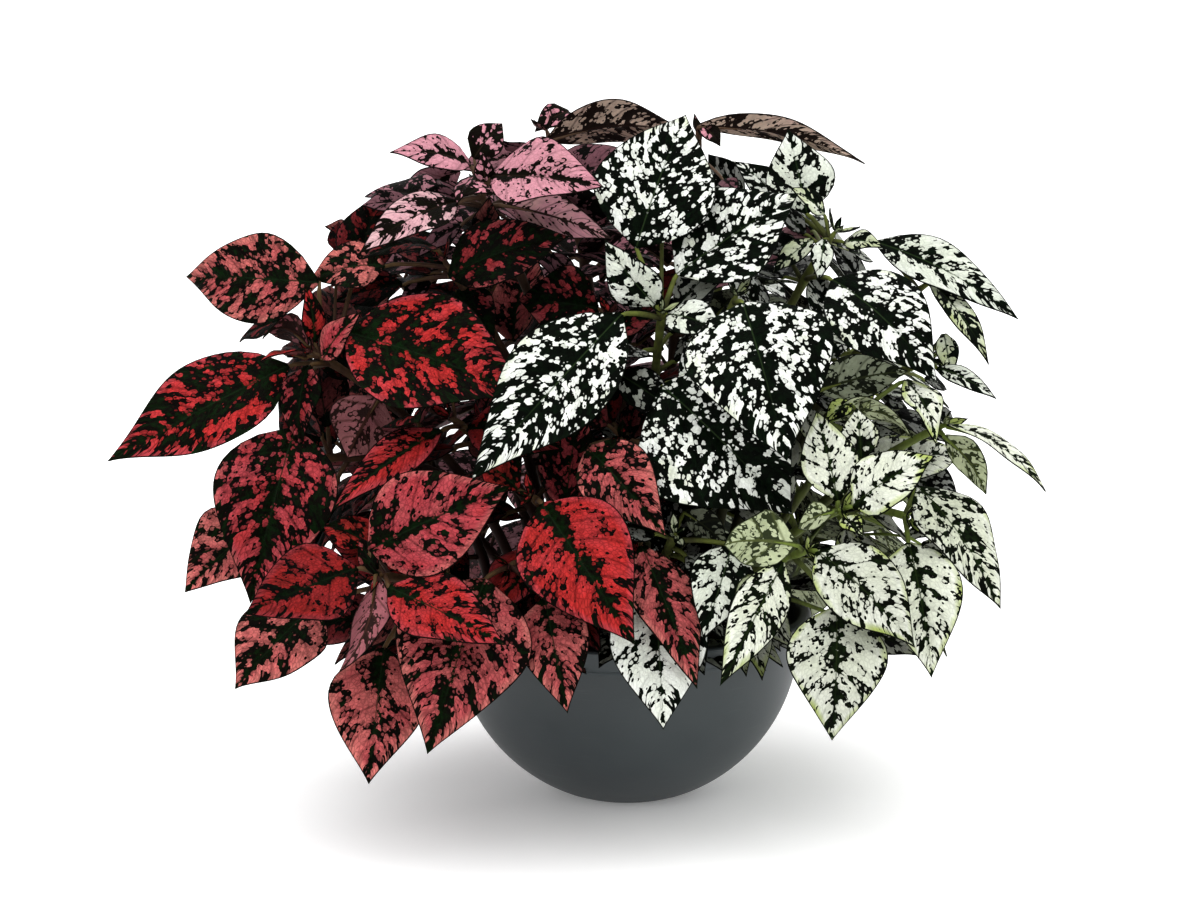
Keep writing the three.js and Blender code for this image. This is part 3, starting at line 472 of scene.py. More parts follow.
def plant_stems():
    stems = []
    for index, (name, tint, foot, tips, inner_pairs, rows) in enumerate(FRONT_STEMS):
        main = StemCurve(foot, seen(tips[0]))
        curves = [main] + [main.shoot(seen(tip)) for tip in tips[1:]]
        leaves = [front_leaf(curves, *row) for row in rows]
        leaves += pairs_below(main, INNER_FROM, INNER_LENGTHS[:inner_pairs], INNER_TWIST * index)
        stems.append(Stem(name, tint, curves, leaves))
    for index, (name, tint, foot, tip, pairs) in enumerate(BACK_STEMS):
        main = StemCurve(foot, np.array(tip, dtype=float))
        leaves = pairs_below(main, BACK_FROM, BACK_LENGTHS[:pairs], BACK_TWIST * (index + 1))
        stems.append(Stem(name, tint, [main], leaves))
    for number, leaf in enumerate(leaf for stem in stems for leaf in stem.leaves):
        leaf.number = number
    return stems


# Clearing the leaves of each other. Every leaf and stem is a sheet of small triangles as seen from
# the viewpoint. Where two sheets are seen one over the other, the nearer one stays nearer by a
# clearance: both slide along the line of sight, base and tip each by its own amount.

CLEARANCE = 1.7
CLEARING_ROUNDS = 90
FURTHEST_SLIDE = 22.0
SHEET_STATIONS = [0, 0.12, 0.26, 0.4, 0.55, 0.7, 0.85, 1]
SHEET_ACROSS = np.array([-1.0, -0.5, 0.0, 0.5, 1.0])
JOINED_SHARE = 0.2
LEAST_FACING = 0.3
LEAST_AREA = 1e-6
LEAST_WEIGHT = 0.02
PETIOLE_PARTS = 4
PROBE_HALF_WIDTH = 2.2
STEM_PROBE_HALF_WIDTH = 3.0
STEM_PARTS = 24

# The values of a sheet's point after its places across and up
DEPTH, BASE_SHARE, TIP_SHARE, INNER = 2, 3, 4, 5


class Sheet:
    """Points as (across, up, depth, base share, tip share, inner), and the triangles between them."""

    def __init__(self, rows, leaf, stem_index, clearance):
        self.leaf = leaf
        self.stem_index = stem_index
        self.clearance = clearance
        self.points = np.concatenate(rows)
        starts = np.cumsum([0] + [len(row) for row in rows])
        triangles = []
        for k in range(len(rows) - 1):
            count = len(rows[k])
            if count != len(rows[k + 1]):
                continue
            for c in range(count - 1):
                near = starts[k] + c
                far = starts[k + 1] + c
                triangles.append((near, near + 1, far))
                triangles.append((near + 1, far + 1, far))
        self.corners = self.points[np.array(triangles)]
        flat = self.points[:, :2]
        self.low = flat.min(axis=0)
        self.high = flat.max(axis=0)


def ribbon_row(here, after, half_width, base_share, inner):
    a0, u0, _ = as_seen(here)
    a1, u1, _ = as_seen(after)
    span = math.hypot(a1 - a0, u1 - u0) or 1.0
    over = np.array([-(u1 - u0) / span, 0.0, (a1 - a0) / span])
    points = as_seen(np.array([here + over * (v * half_width) for v in (-1, 0, 1)]))
    shares = np.tile([base_share, 0.0, inner], (3, 1))
    return np.hstack([points, shares])


def leaf_sheet(leaf, stem_index):
    rows = []
    for part in range(PETIOLE_PARTS):
        share = part / PETIOLE_PARTS
        here = leaf.root + (leaf.base - leaf.root) * share
        rows.append(ribbon_row(here, leaf.base, PROBE_HALF_WIDTH, share, 1.0))
    for station in SHEET_STATIONS:
        t = np.full(len(SHEET_ACROSS), float(station))
        shares = np.stack([1 - t, t, (t < JOINED_SHARE).astype(float)], axis=-1)
        rows.append(np.hstack([as_seen(leaf.surface(t, SHEET_ACROSS)), shares]))
    facing = max(abs(leaf.normal.dot(unit(EYE - leaf.base))), LEAST_FACING)
    return Sheet(rows, leaf, stem_index, CLEARANCE / facing)


def stem_sheet(curve, stem_index):
    rows = [ribbon_row(curve.point(k / STEM_PARTS), curve.point((k + 1) / STEM_PARTS),
                       STEM_PROBE_HALF_WIDTH, 0.0, 0.0) for k in range(STEM_PARTS)]
    return Sheet(rows, None, stem_index, CLEARANCE + STEM_FOOT_RADIUS)


def turning(one, two):
    """Twice the area that two arrows span as seen, positive where the second lies to the left."""
    return one[..., 0] * two[..., 1] - two[..., 0] * one[..., 1]


def seen_over(sheet, points):
    """For each point, whether it is seen over the sheet, and the mix of corner values there."""
    a, b, c = sheet.corners[:, 0], sheet.corners[:, 1], sheet.corners[:, 2]
    area = turning(b - a, c - a)
    flat = np.abs(area) < LEAST_AREA
    area = np.where(flat, 1.0, area)
    away = points[:, None] - a
    share_b = turning(away, c - a) / area
    share_c = turning(b - a, away) / area
    share_a = 1 - share_b - share_c
    inside = (share_a >= 0) & (share_b >= 0) & (share_c >= 0) & ~flat
    first = inside.argmax(axis=1)
    hit = inside.any(axis=1)
    rows = np.arange(len(points))
    sa, sb, sc = share_a[rows, first], share_b[rows, first], share_c[rows, first]
    mixed = sa[:, None] * a[first] + sb[:, None] * b[first] + sc[:, None] * c[first]
    mixed[:, INNER] = a[first, INNER] * b[first, INNER]
    return hit, mixed


def overlaps_between(one, two):
    """Pairs of places, one on each sheet, that are seen one over the other."""
    if (one.low > two.high).any() or (two.low > one.high).any():
        return None
    same_stem = one.stem_index == two.stem_index
    found = []
    for near, far, swap in ((one, two, False), (two, one, True)):
        hit, under = seen_over(far, near.points)
        if same_stem:
            hit &= (near.points[:, INNER] == 0) & (under[:, INNER] == 0)
        pair = (near.points[hit], under[hit])
        found.append(pair[::-1] if swap else pair)
    first = np.concatenate([pair[0] for pair in found])
    second = np.concatenate([pair[1] for pair in found])
    return (first, second) if len(first) else None


def clamped(value):
    return max(-FURTHEST_SLIDE, min(FURTHEST_SLIDE, value))


def clear_leaves(stems):
    sheets = []
    for index, stem in enumerate(stems):
        sheets += [stem_sheet(curve, index) for curve in stem.curves]
        sheets += [leaf_sheet(leaf, index) for leaf in stem.leaves]
    slides = [[0.0, 0.0] for _ in sheets]
    limits = []
    for i, one in enumerate(sheets):
        for j in range(i + 1, len(sheets)):
            two = sheets[j]
            on_own_stem = one.stem_index == two.stem_index and not (one.leaf and two.leaf)
            if on_own_stem or not (one.leaf or two.leaf):
                continue
            overlaps = overlaps_between(one, two)
            if overlaps is None:
                continue
            first, second = overlaps
            lead = (second[:, DEPTH] - first[:, DEPTH]).sum()
            order = 1.0 if lead >= 0 else -1.0
            clearance = max(one.clearance, two.clearance)
            for p, q in zip(first.tolist(), second.tolist()):
                shares = (p[BASE_SHARE], p[TIP_SHARE], q[BASE_SHARE], q[TIP_SHARE])
                weight = shares[0] ** 2 + shares[1] ** 2 + shares[2] ** 2 + shares[3] ** 2
                if weight > LEAST_WEIGHT:
                    gap = order * (q[DEPTH] - p[DEPTH]) - clearance
                    limits.append((slides[i], slides[j], order, gap, *shares, weight))
    for _ in range(CLEARING_ROUNDS):
        for near, far, order, gap, near_base, near_tip, far_base, far_tip, weight in limits:
            now = gap + order * (far_base * far[0] + far_tip * far[1]
                                 - near_base * near[0] - near_tip * near[1])
            if now < 0:
                push = -now / weight * order
                near[0] = clamped(near[0] - push * near_base)
                near[1] = clamped(near[1] - push * near_tip)
                far[0] = clamped(far[0] + push * far_base)
                far[1] = clamped(far[1] + push * far_tip)
    for sheet, slide in zip(sheets, slides):
        if sheet.leaf:
            sheet.leaf.slide_base, sheet.leaf.slide_tip = slide


# Inner leaves: the pairs lower down the stems and shoots, which fill the plant behind the leaves that
# show. Each one is tried at some turns and sizes, and the first that is clear of every leaf and stem,
# inside the plant's dome, and in front of no leaf that shows, is kept.

INNER_JOINTS = np.linspace(0.94, 0.22, 11)
LOWEST_SHOOT_JOINT = 0.45
INNER_TURNS = (0.0, 0.45, -0.45, 0.9, -0.9)
INNER_SCALES = (1.0, 0.8, 0.62, 0.46)
LEAST_INNER_LENGTH = 11.0
INNER_CLEARANCE = 0.8

# How an inner leaf's first turn comes from its joint, its number and its shoot
JOINT_TURN = 1.57
NUMBER_TURN = 0.7
MOST_NUMBER_TURN = 0.6
SHOOT_TURN = 0.4

# An inner leaf, in millimetres and in shares of its size
INNER_SIZE = 28.0
INNER_GROWTH = 28.0
LAST_GROWTH = 0.6
SIZE_SWING = 0.14
SIZE_STEP = 5.1
INNER_RISE = 0.5
INNER_LIFT = np.array([0.0, 0.0, 0.1])
INNER_PETIOLE = 4.0
INNER_PETIOLE_SHARE = 0.14
INNER_DROOP = 0.2
INNER_FACE_LIFT = np.array([0.0, 0.0, 0.7])
INNER_WIDTH_SHARE = 0.55
INNER_ARCH_SHARE = 0.08
LEVEL_TILT = 0.02

# The dome that the added leaves stay in, and how low they may hang, less so towards the front
DOME_CENTRE = np.array([-17.0, 0.0, 96.0])
DOME_REACH = np.array([122.0, 102.0, 122.0])
DOME_DROP = 48.0
DROP_TO_FRONT = 0.12

# Rough shapes that are tested against each other
PROBE_STATIONS = np.linspace(0, 1, 9)
PROBE_ACROSS = np.linspace(-1, 1, 7)
PROBE_PETIOLE_RADIUS = 1.0
PROBE_PETIOLE_SIDES = 5
PROBE_STALK_PLACES = np.linspace(0.1, 1, 16)
PROBE_STALK_SIDES = 6
STALK_CLEARANCE = 0.4
BLADE_CLEARANCE = 0.3
PETIOLE_CLEARANCE = 0.3
FREE_PETIOLE_FROM = 0.45
MOST_HIDDEN = 0.06


def box_faces(rows, columns):
    """Faces between a grid of points and a second grid that follows it, without their rims."""
    faces = []
    for i in range(rows - 1):
        for j in range(columns - 1):
            a = i * columns + j
            quad = (a, a + 1, a + columns + 1, a + columns)
            faces.append(quad)
            faces.append(tuple(k + rows * columns for k in quad))
    return faces


class Solids:
    """Rough shapes of leaves and stems, to find what crosses what."""

    def __init__(self):
        self.points = []
        self.faces = []

    def add(self, points, faces):
        start = len(self.points)
        self.points += [Vector(point) for point in points]
        self.faces += [tuple(k + start for k in face) for face in faces]

    def add_blade(self, leaf, clearance):
        t, v = np.meshgrid(PROBE_STATIONS, PROBE_ACROSS, indexing="ij")
        middle = leaf.surface(t, v)
        normals = grid_normals(middle)
        both = [(middle + normals * side).reshape(-1, 3) for side in (clearance, -clearance)]
        self.add(np.concatenate(both), box_faces(len(PROBE_STATIONS), len(PROBE_ACROSS)))

    def add_petiole(self, leaf, clearance, from_share):
        start = leaf.root + (leaf.base - leaf.root) * from_share
        radii = [PROBE_PETIOLE_RADIUS + clearance] * 2
        self.add(*tube([start, leaf.base], radii, PROBE_PETIOLE_SIDES))

    def add_stalk(self, curve, clearance):
        path = [curve.point(u) for u in PROBE_STALK_PLACES]
        self.add(*tube(path, [STEM_FOOT_RADIUS + clearance] * len(path), PROBE_STALK_SIDES))

    def tree(self):
        return BVHTree.FromPolygons(self.points, self.faces)


class Crowd:
    """What already stands in the plant, and which leaves show from the front."""

    def __init__(self, stems):
        standing = Solids()
        shown = Solids()
        for stem in stems:
            for curve in stem.curves:
                standing.add_stalk(curve, STALK_CLEARANCE)
            for leaf in stem.leaves:
                standing.add_blade(leaf, BLADE_CLEARANCE)
                standing.add_petiole(leaf, 0.0, 0.0)
                shown.add_blade(leaf, 0.0)
        self.standing = standing.tree()
        self.shown = shown.tree()
        self.added = []
        self.boxes = np.zeros((0, 2, 3))

    def has_room_for(self, leaf, clearance, dome_scale=1.0):
        """Takes the leaf in when it is inside the dome, crosses nothing and hides no leaf that shows."""
        t, v = np.meshgrid(PROBE_STATIONS[::2], PROBE_ACROSS[::3], indexing="ij")
        probes = leaf.surface(t, v).reshape(-1, 3)
        if not in_dome(probes, dome_scale):
            return False
        trial = Solids()
        trial.add_blade(leaf, clearance)
        trial.add_petiole(leaf, PETIOLE_CLEARANCE, FREE_PETIOLE_FROM)
        tree = trial.tree()
        if tree.overlap(self.standing):
            return False
        corners = np.array(trial.points)
        low, high = corners.min(axis=0), corners.max(axis=0)
        near = ((self.boxes[:, 0] < high) & (self.boxes[:, 1] > low)).all(axis=1)
        if any(tree.overlap(self.added[k]) for k in np.nonzero(near)[0]):
            return False
        if self.hides_a_leaf(probes):
            return False
        self.added.append(tree)
        self.boxes = np.concatenate([self.boxes, [[low, high]]])
        return True

    def hides_a_leaf(self, points):
        """Whether more than a few of the points stand before a leaf that shows from the front."""
        hidden = 0
        for point in points:
            towards = point - EYE
            reach = np.linalg.norm(towards)
            hit = self.shown.ray_cast(Vector(EYE), Vector(towards / reach))
            if hit[3] is not None and hit[3] > reach:
                hidden += 1
        return hidden > MOST_HIDDEN * len(points)

    def shows_through(self, point):
        """Whether nothing stands on the line from the eye through the point."""
        start, towards = Vector(EYE), Vector(unit(point - EYE))
        return all(tree.ray_cast(start, towards)[3] is None for tree in (self.standing, *self.added))


def in_dome(points, scale):
    away = (points - DOME_CENTRE) / (DOME_REACH * scale)
    inside = (away[..., 2] < 0) | ((away ** 2).sum(axis=-1) < 1)
    narrow = (away[..., :2] ** 2).sum(axis=-1) < 1
    high = points[..., 2] > DOME_DROP + DROP_TO_FRONT * np.maximum(-points[..., 1], 0)
    return bool((inside & narrow & high).all())


def inner_leaf(curve, u, sign, turn, scale, number):
    joint = curve.point(u)
    axis = curve.tangent(u)
    out = square_to(axis, turn, LEVEL_TILT) * sign
    full_size = INNER_SIZE + INNER_GROWTH * min(1 - u, LAST_GROWTH)
    size = full_size * scale * (1 + SIZE_SWING * math.sin(SIZE_STEP * number))
    heading = unit(out + axis * (INNER_RISE * u) + INNER_LIFT)
    base = joint + heading * (INNER_PETIOLE + INNER_PETIOLE_SHARE * size)
    tip = base + heading * size
    tip[2] -= INNER_DROOP * size
    leaf = Leaf(joint, base, tip, INNER_WIDTH_SHARE * size, axis + INNER_FACE_LIFT, INNER_ARCH_SHARE * size)
    leaf.number = number
    return leaf


def add_inner_leaves(stems, crowd):
    number = FIRST_INNER_NUMBER
    tries = [(scale, turn) for scale in INNER_SCALES for turn in INNER_TURNS]
    places = [(joint, u, stem, index, curve, sign) for joint, u in enumerate(INNER_JOINTS)
              for stem in stems for index, curve in enumerate(stem.curves)
              if index == 0 or u >= LOWEST_SHOOT_JOINT for sign in (1, -1)]
    for joint, u, stem, index, curve, sign in places:
        number += 1
        first_turn = JOINT_TURN * joint + NUMBER_TURN * number % MOST_NUMBER_TURN + SHOOT_TURN * index
        for scale, turn in tries:
            leaf = inner_leaf(curve, u, sign, first_turn + turn, scale, number)
            if leaf.length >= LEAST_INNER_LENGTH and crowd.has_room_for(leaf, INNER_CLEARANCE):
                stem.inner.append(leaf)
                break


# Filling leaves: where the plant still shows through from the front, inside this outline of places
# across and up, a leaf on a longer stalk is put in behind the others.

FILLED_OUTLINE = [
    (-118, 150), (-102, 196), (-70, 218), (-34, 236), (6, 243), (42, 236), (66, 222), (84, 200),
    (106, 188), (112, 150), (128, 118), (124, 84), (104, 62), (78, 50), (56, 62), (-48, 62), (-70, 44),
    (-100, 50), (-124, 58), (-142, 92), (-126, 120),
]
FILL_STEP = 3.0
FILL_ACROSS = np.arange(-145, 132, FILL_STEP)
FILL_UP = np.arange(44, 244, FILL_STEP)
FILL_DEPTHS = (-20.0, 5.0, 30.0, -45.0, 60.0)
FILL_SIZES = (34.0, 24.0, 17.0, 12.0)
FILL_CLEARANCE = 0.35
FILL_DOME_SCALE = 1.13

# A filling leaf stands on one of the nearest joints, the less the stalk points at the eye the better
FILL_JOINTS = np.linspace(0.28, 0.95, 9)
NEAREST_JOINTS = 5
FORESHORTENING_COST = 0.8
FILL_STALK_LEAST = 2.0
FILL_STALK_MOST = 40.0

# How its blade lies over the place, in shares of its size, and the ways it faces
FILL_MIDDLE = 0.42
FILL_DROOP = 0.12
FILL_WIDTH_SHARE = 0.6
FILL_ARCH_SHARE = 0.06
FILL_FACES = (0.75, -0.25, 2.0)
FILL_TO_FRONT = -0.8
FILL_LEAN = 0.5
FILL_LEAN_STEP = 2.3


def inside_outline(outline, across, up):
    inside = False
    for (a0, u0), (a1, u1) in zip(outline, outline[1:] + outline[:1]):
        if (u0 > up) != (u1 > up) and across < a0 + (a1 - a0) * (up - u0) / (u1 - u0):
            inside = not inside
    return inside


def filling_leaf(joint, place, size, upward, number):
    heading = unit(place - joint)
    base = place - heading * (FILL_MIDDLE * size)
    tip = base + heading * size
    tip[2] -= FILL_DROOP * size
    face = np.array([FILL_LEAN * math.sin(FILL_LEAN_STEP * number), FILL_TO_FRONT, upward])
    leaf = Leaf(joint, base, tip, FILL_WIDTH_SHARE * size, face, FILL_ARCH_SHARE * size)
    leaf.number = number
    return leaf


def fill_place(place, joints, crowd, number):
    """Puts a leaf over the place from one of the nearest joints, and returns whether it found room."""
    away = place - np.array([joint for _, joint in joints])
    far = np.linalg.norm(away, axis=1)
    foreshortened = np.abs(away @ unit(place - EYE))
    order = np.argsort(far + FORESHORTENING_COST * foreshortened)
    for size in FILL_SIZES:
        for k in order[:NEAREST_JOINTS]:
            if not FILL_STALK_LEAST < far[k] - FILL_MIDDLE * size < FILL_STALK_MOST:
                continue
            stem, joint = joints[k]
            for upward in FILL_FACES:
                leaf = filling_leaf(joint, place, size, upward, number)
                if crowd.has_room_for(leaf, FILL_CLEARANCE, FILL_DOME_SCALE):
                    stem.filling.append(leaf)
                    return True
    return False


def add_filling_leaves(stems, crowd):
    joints = [(stem, curve.point(u)) for stem in stems for curve in stem.curves for u in FILL_JOINTS]
    number = FIRST_FILL_NUMBER
    for up in FILL_UP:
        for across in FILL_ACROSS:
            inside = inside_outline(FILLED_OUTLINE, across, up)
            if inside and crowd.shows_through(seen((across, up, 0.0))):
                number += 1
                places = (seen((across, up, depth)) for depth in FILL_DEPTHS)
                any(fill_place(place, joints, crowd, number) for place in places)


# Looks of the leaves: how much of the blade the patches cover, how dark it is along the midrib and
# along the side veins, its tone from pale (-1) over cool (0) and warm (1) to young (2), and its painted
# shade, a factor on the whole leaf's colour: below 1 it is a painted shadow, above 1 painted light.
# A letter stands for each leaf of a stem.

LOOKS = {
    "b": (0.46, 0.40, 0.00, 0.85, 1.00),
    "s": (0.56, 0.60, 0.30, 0.20, 0.88),
    "f": (0.82, 1.00, 0.20, 0.95, 0.90),
    "F": (0.84, 1.00, 0.35, 1.00, 0.56),
    "p": (0.78, 0.90, 0.30, 0.10, 0.90),
    "q": (0.72, 0.80, 0.25, -0.40, 0.88),
    "r": (0.52, 0.40, 0.05, -0.60, 0.90),
    "k": (0.50, 0.40, 0.00, -0.60, 1.00),
    "g": (0.66, 0.70, 0.20, -0.70, 1.05),
    "h": (0.84, 1.00, 0.20, -0.50, 0.95),
    "m": (0.60, 0.30, 0.10, -1.00, 1.20),
    "C": (0.82, 0.95, 0.60, 0.60, 0.84),
    "d": (0.42, 0.50, 0.30, 0.30, 0.62),
    "n": (0.52, 0.20, 0.20, -1.00, 1.00),
    "u": (0.92, 0.40, 0.20, 0.00, 1.15),
    "c": (0.86, 0.95, 0.55, 0.60, 1.00),
    "w": (0.66, 0.60, 0.20, 0.20, 0.95),
    "y": (0.62, 0.50, 0.20, 1.50, 0.95),
}
LEAF_LOOKS = {
    "red_left": "rbydydpdbsgk",
    "red_low_left": "FfpydpghFd",
    "red_mid": "fqdF",
    "red_top": "ddnd",
    "red_front": "fqqy",
    "red_right": "qqdd",
    "pink_top": "fbbbbfur",
    "pink_high": "mbdd",
    "pink_right": "mbdd",
    "white_mid": "bbwwbbd",
    "white_big": "bbb",
    "white_low": "wcd",
    "white_right": "wyywybbw",
    "white_far_right": "wyyw",
    "cream_mid": "cywccccw",
    "cream_low": "CCwwc",
    "cream_right": "ccwc",
}
USUAL_LOOKS = {"red": "bsFq", "pink": "fbp", "white": "bbw", "cream": "ccw"}
# Painted shade of the added leaves: the darkest factor, and a further darkening for filling leaves, as
# though in the shadow of the leaves in front.
DEEPEST_PAINTED_SHADE = 0.45
FILL_PAINTED_SHADE = 0.7

# Shares of the dome's reach and depths in millimetres between which an added leaf's painted shade goes from
# deep to full
SHADED_WITHIN = 0.5
SHADE_REACH = 0.4
BEHIND_FROM = -20.0
BEHIND_REACH = 45.0


def painted_depth_shade(leaf):
    """Painted shade: dark deep in the plant and behind the leaves of the front, where they would lie in
    shadow, and full at the sides and the back.
    """
    middle = 0.5 * (leaf.base + leaf.tip)
    from_centre = np.linalg.norm((middle - DOME_CENTRE) / DOME_REACH)
    out = np.clip((from_centre - SHADED_WITHIN) / SHADE_REACH, 0, 1)
    behind = np.clip((middle[1] - BEHIND_FROM) / BEHIND_REACH, 0, 1)
    return DEEPEST_PAINTED_SHADE + (1 - DEEPEST_PAINTED_SHADE) * out * behind


def set_looks(stems):
    for stem in stems:
        letters = LEAF_LOOKS.get(stem.name, "")
        usual = USUAL_LOOKS[stem.tint]
        for index, leaf in enumerate(stem.leaves):
            letter = letters[index] if index < len(letters) else usual[leaf.number % len(usual)]
            leaf.look = LOOKS[letter]
        # Inner and filling leaves get painted shade, darker the deeper they stand in the plant and behind
        # the front leaves.
        for leaf in stem.inner + stem.filling:
            *pattern_look, shade = LOOKS[usual[leaf.number % len(usual)]]
            shade *= painted_depth_shade(leaf) * (FILL_PAINTED_SHADE if leaf in stem.filling else 1.0)
            leaf.look = (*pattern_look, shade)


# Meshes

class Shells:
    """The closed shells of one piece, with each face's material slot and each point's values."""

    VALUES = ("place", "edge", "look", "own")

    def __init__(self):
        self.points = []
        self.faces = []
        self.slots = []
        self.values = {name: [] for name in self.VALUES}
        self.sharp = []
        self.count = 0

    def add(self, points, faces, slot, **values):
        self.points.append(points)
        self.faces += [tuple(self.count + k for k in face) for face in faces]
        self.slots += [slot] * len(faces) if isinstance(slot, int) else slot
        for name in self.VALUES:
            given = values.get(name, np.zeros(3))
            self.values[name].append(np.broadcast_to(given, (len(points), 3)))
        start = self.count
        self.count += len(points)
        return start

    def piece(self, name, materials, slot_name, node):
        mesh = bpy.data.meshes.new(name)
        mesh.from_pydata((np.concatenate(self.points) * MM).tolist(), [], self.faces)
        for material in materials:
            mesh.materials.append(material)
        mesh.polygons.foreach_set("material_index", self.slots)
        mesh.polygons.foreach_set("use_smooth", [True] * len(self.faces))
        for value, rows in self.values.items():
            attribute = mesh.attributes.new(value, "FLOAT_VECTOR", "POINT")
            attribute.data.foreach_set("vector", np.concatenate(rows).astype(np.float32).ravel())
        mesh.update()
        if self.sharp:
            wanted = {tuple(sorted(pair)) for pair in self.sharp}
            flags = [tuple(sorted(edge.vertices)) in wanted for edge in mesh.edges]
            mark = mesh.attributes.new("sharp_edge", "BOOLEAN", "EDGE")
            mark.data.foreach_set("value", flags)
        mesh.validate()
        piece = bpy.data.objects.new(name, mesh)
        bpy.context.collection.objects.link(piece)
        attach(piece, "root")
        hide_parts(node)


UPPER, UNDER, STALK = 0, 1, 2

BLADE_THICKNESS = 0.5
EDGE_THINNING = 0.5
EDGE_SHARPNESS = 6
ROWS_PER_VEIN = 4
COLUMN_SPACING = 1.9
COLUMN_CROWDING = 1.15
VEIN_SPACING = 6.2
FEWEST_VEINS = 3
MOST_VEINS = 8
VEIN_SWEEP = 0.8
SWEEP_TO_MARGIN = 1.2
SWEEP_FROM_BASE = 0.7
CROWN_RISE = 1.2
CROWN_FALL = 0.45
QUILT_SHARE = 0.026
QUILT_FULLNESS = 0.7
RIB_GROOVE = 0.4
RIB_RIDGE = 0.5
RIB_HALF_WIDTH = 0.7
RIB_FADE = 0.75
FULL_RELIEF_WIDTH = 22.0


def crown(margin):
    """How far the blade has risen from its midrib: steep beside it and level at the margin."""
    return CROWN_RISE * margin - CROWN_FALL * margin ** 2


def grid_normals(points):
    along = np.gradient(points, axis=0)
    over = np.gradient(points, axis=1)
    normals = np.cross(over, along)
    lengths = np.linalg.norm(normals, axis=-1, keepdims=True)
    normals = normals / np.maximum(lengths, 1e-9)
    normals[-1] = normals[-2]
    return normals


def blade_faces(rows, columns):
    """The faces of a blade's closed shell, their slots and the sharp edges at its margins. The shell's
    points are the rows of the upper sheet, those of the lower sheet, and the tip."""
    under = rows * columns
    tip = 2 * under
    last = columns - 1
    end = rows - 1

    def at(row, column):
        return row * columns + column

    faces = []
    slots = []
    for i in range(end):
        for j in range(last):
            quad = (at(i, j), at(i, j + 1), at(i + 1, j + 1), at(i + 1, j))
            faces.append(quad)
            faces.append(tuple(under + k for k in reversed(quad)))
        faces.append((at(i, last), under + at(i, last), under + at(i + 1, last), at(i + 1, last)))
        faces.append((at(i, 0), at(i + 1, 0), under + at(i + 1, 0), under + at(i, 0)))
        slots += [UPPER, UNDER] * last + [UPPER, UPPER]
    for j in range(last):
        faces.append((at(end, j), at(end, j + 1), tip))
        faces.append((under + at(end, j + 1), under + at(end, j), tip))
        faces.append((at(0, j), under + at(0, j), under + at(0, j + 1), at(0, j + 1)))
        slots += [UPPER, UNDER, UNDER]
    faces.append((at(end, last), under + at(end, last), tip))
    faces.append((under + at(end, 0), at(end, 0), tip))
    slots += [UPPER, UPPER]
    sharp = [(sheet + at(i, j), sheet + at(i + 1, j))
             for i in range(end) for j in (0, last) for sheet in (0, under)]
    return faces, slots, sharp


def blade(shells, leaf):
    """Both faces and the edge of one blade as one closed shell. Its rows follow the side veins, and
    the blade is quilted between them."""
    veins = int(min(MOST_VEINS, max(FEWEST_VEINS, round(leaf.length / VEIN_SPACING))))
    rows = veins * ROWS_PER_VEIN
    half_columns = max(3, round(0.5 * leaf.width / COLUMN_SPACING) + 1)
    spread = np.linspace(-1, 1, 2 * half_columns + 1)
    spread = np.sign(spread) * np.abs(spread) ** COLUMN_CROWDING
    begun, v = np.meshgrid(np.linspace(0, 1, rows + 1), spread, indexing="ij")
    margin = np.abs(v)
    t = begun + VEIN_SWEEP * margin ** SWEEP_TO_MARGIN * begun ** SWEEP_FROM_BASE * (1 - begun)
    half = leaf.half_width(t)
    across = v * half
    phase = begun * veins + np.where(v < 0, 0.5, 0.0)

    relief = min(1.0, leaf.width / FULL_RELIEF_WIDTH)
    body = (np.sin(np.pi * np.clip(t, 0, 1)) ** QUILT_FULLNESS
            * np.sin(np.pi * np.clip(margin, 0, 1) ** QUILT_FULLNESS))
    quilt = QUILT_SHARE * leaf.width * np.abs(np.sin(np.pi * phase)) ** QUILT_FULLNESS * body
    near_rib = np.exp(-(across / RIB_HALF_WIDTH) ** 2) * (1 - RIB_FADE * t) * relief
    half_thickness = 0.5 * BLADE_THICKNESS * (1 - EDGE_THINNING * margin ** EDGE_SHARPNESS)
    middle = leaf.surface(t, v, crown)
    normals = grid_normals(middle)
    top = middle + normals * (quilt + half_thickness - RIB_GROOVE * near_rib)[..., None]
    bottom = middle + normals * (quilt - half_thickness - RIB_RIDGE * near_rib)[..., None]

    def shell_rows(upper, lower, tip_row):
        width = tip_row.shape[-1]
        return np.concatenate([upper[:-1].reshape(-1, width), lower[:-1].reshape(-1, width),
                               tip_row[-1, half_columns][None]])

    def shell_values(*values):
        stacked = np.stack(values, axis=-1)
        return shell_rows(stacked, stacked, stacked)

    cover, rib, vein_dark, tone, shade = leaf.look
    along = 0.5 * (t + begun) * leaf.length
    faces, slots, sharp = blade_faces(rows, len(spread))
    # The place values end with the leaf's painted shade, which the leaf materials multiply into its colour.
    start = shells.add(
        shell_rows(top, bottom, middle), faces, slots,
        place=shell_values(across, along, np.full_like(t, shade)),
        edge=shell_values((1 - margin) * half, phase, t),
        look=np.array([cover, rib, vein_dark]),
        own=np.array([leaf.number, tone, 0.5 * leaf.width]))
    shells.sharp += [(start + a, start + b) for a, b in sharp]


# A direction that no stem or leaf stalk starts along
SIDEWAYS = np.array([0.3, 1.0, 0.1])


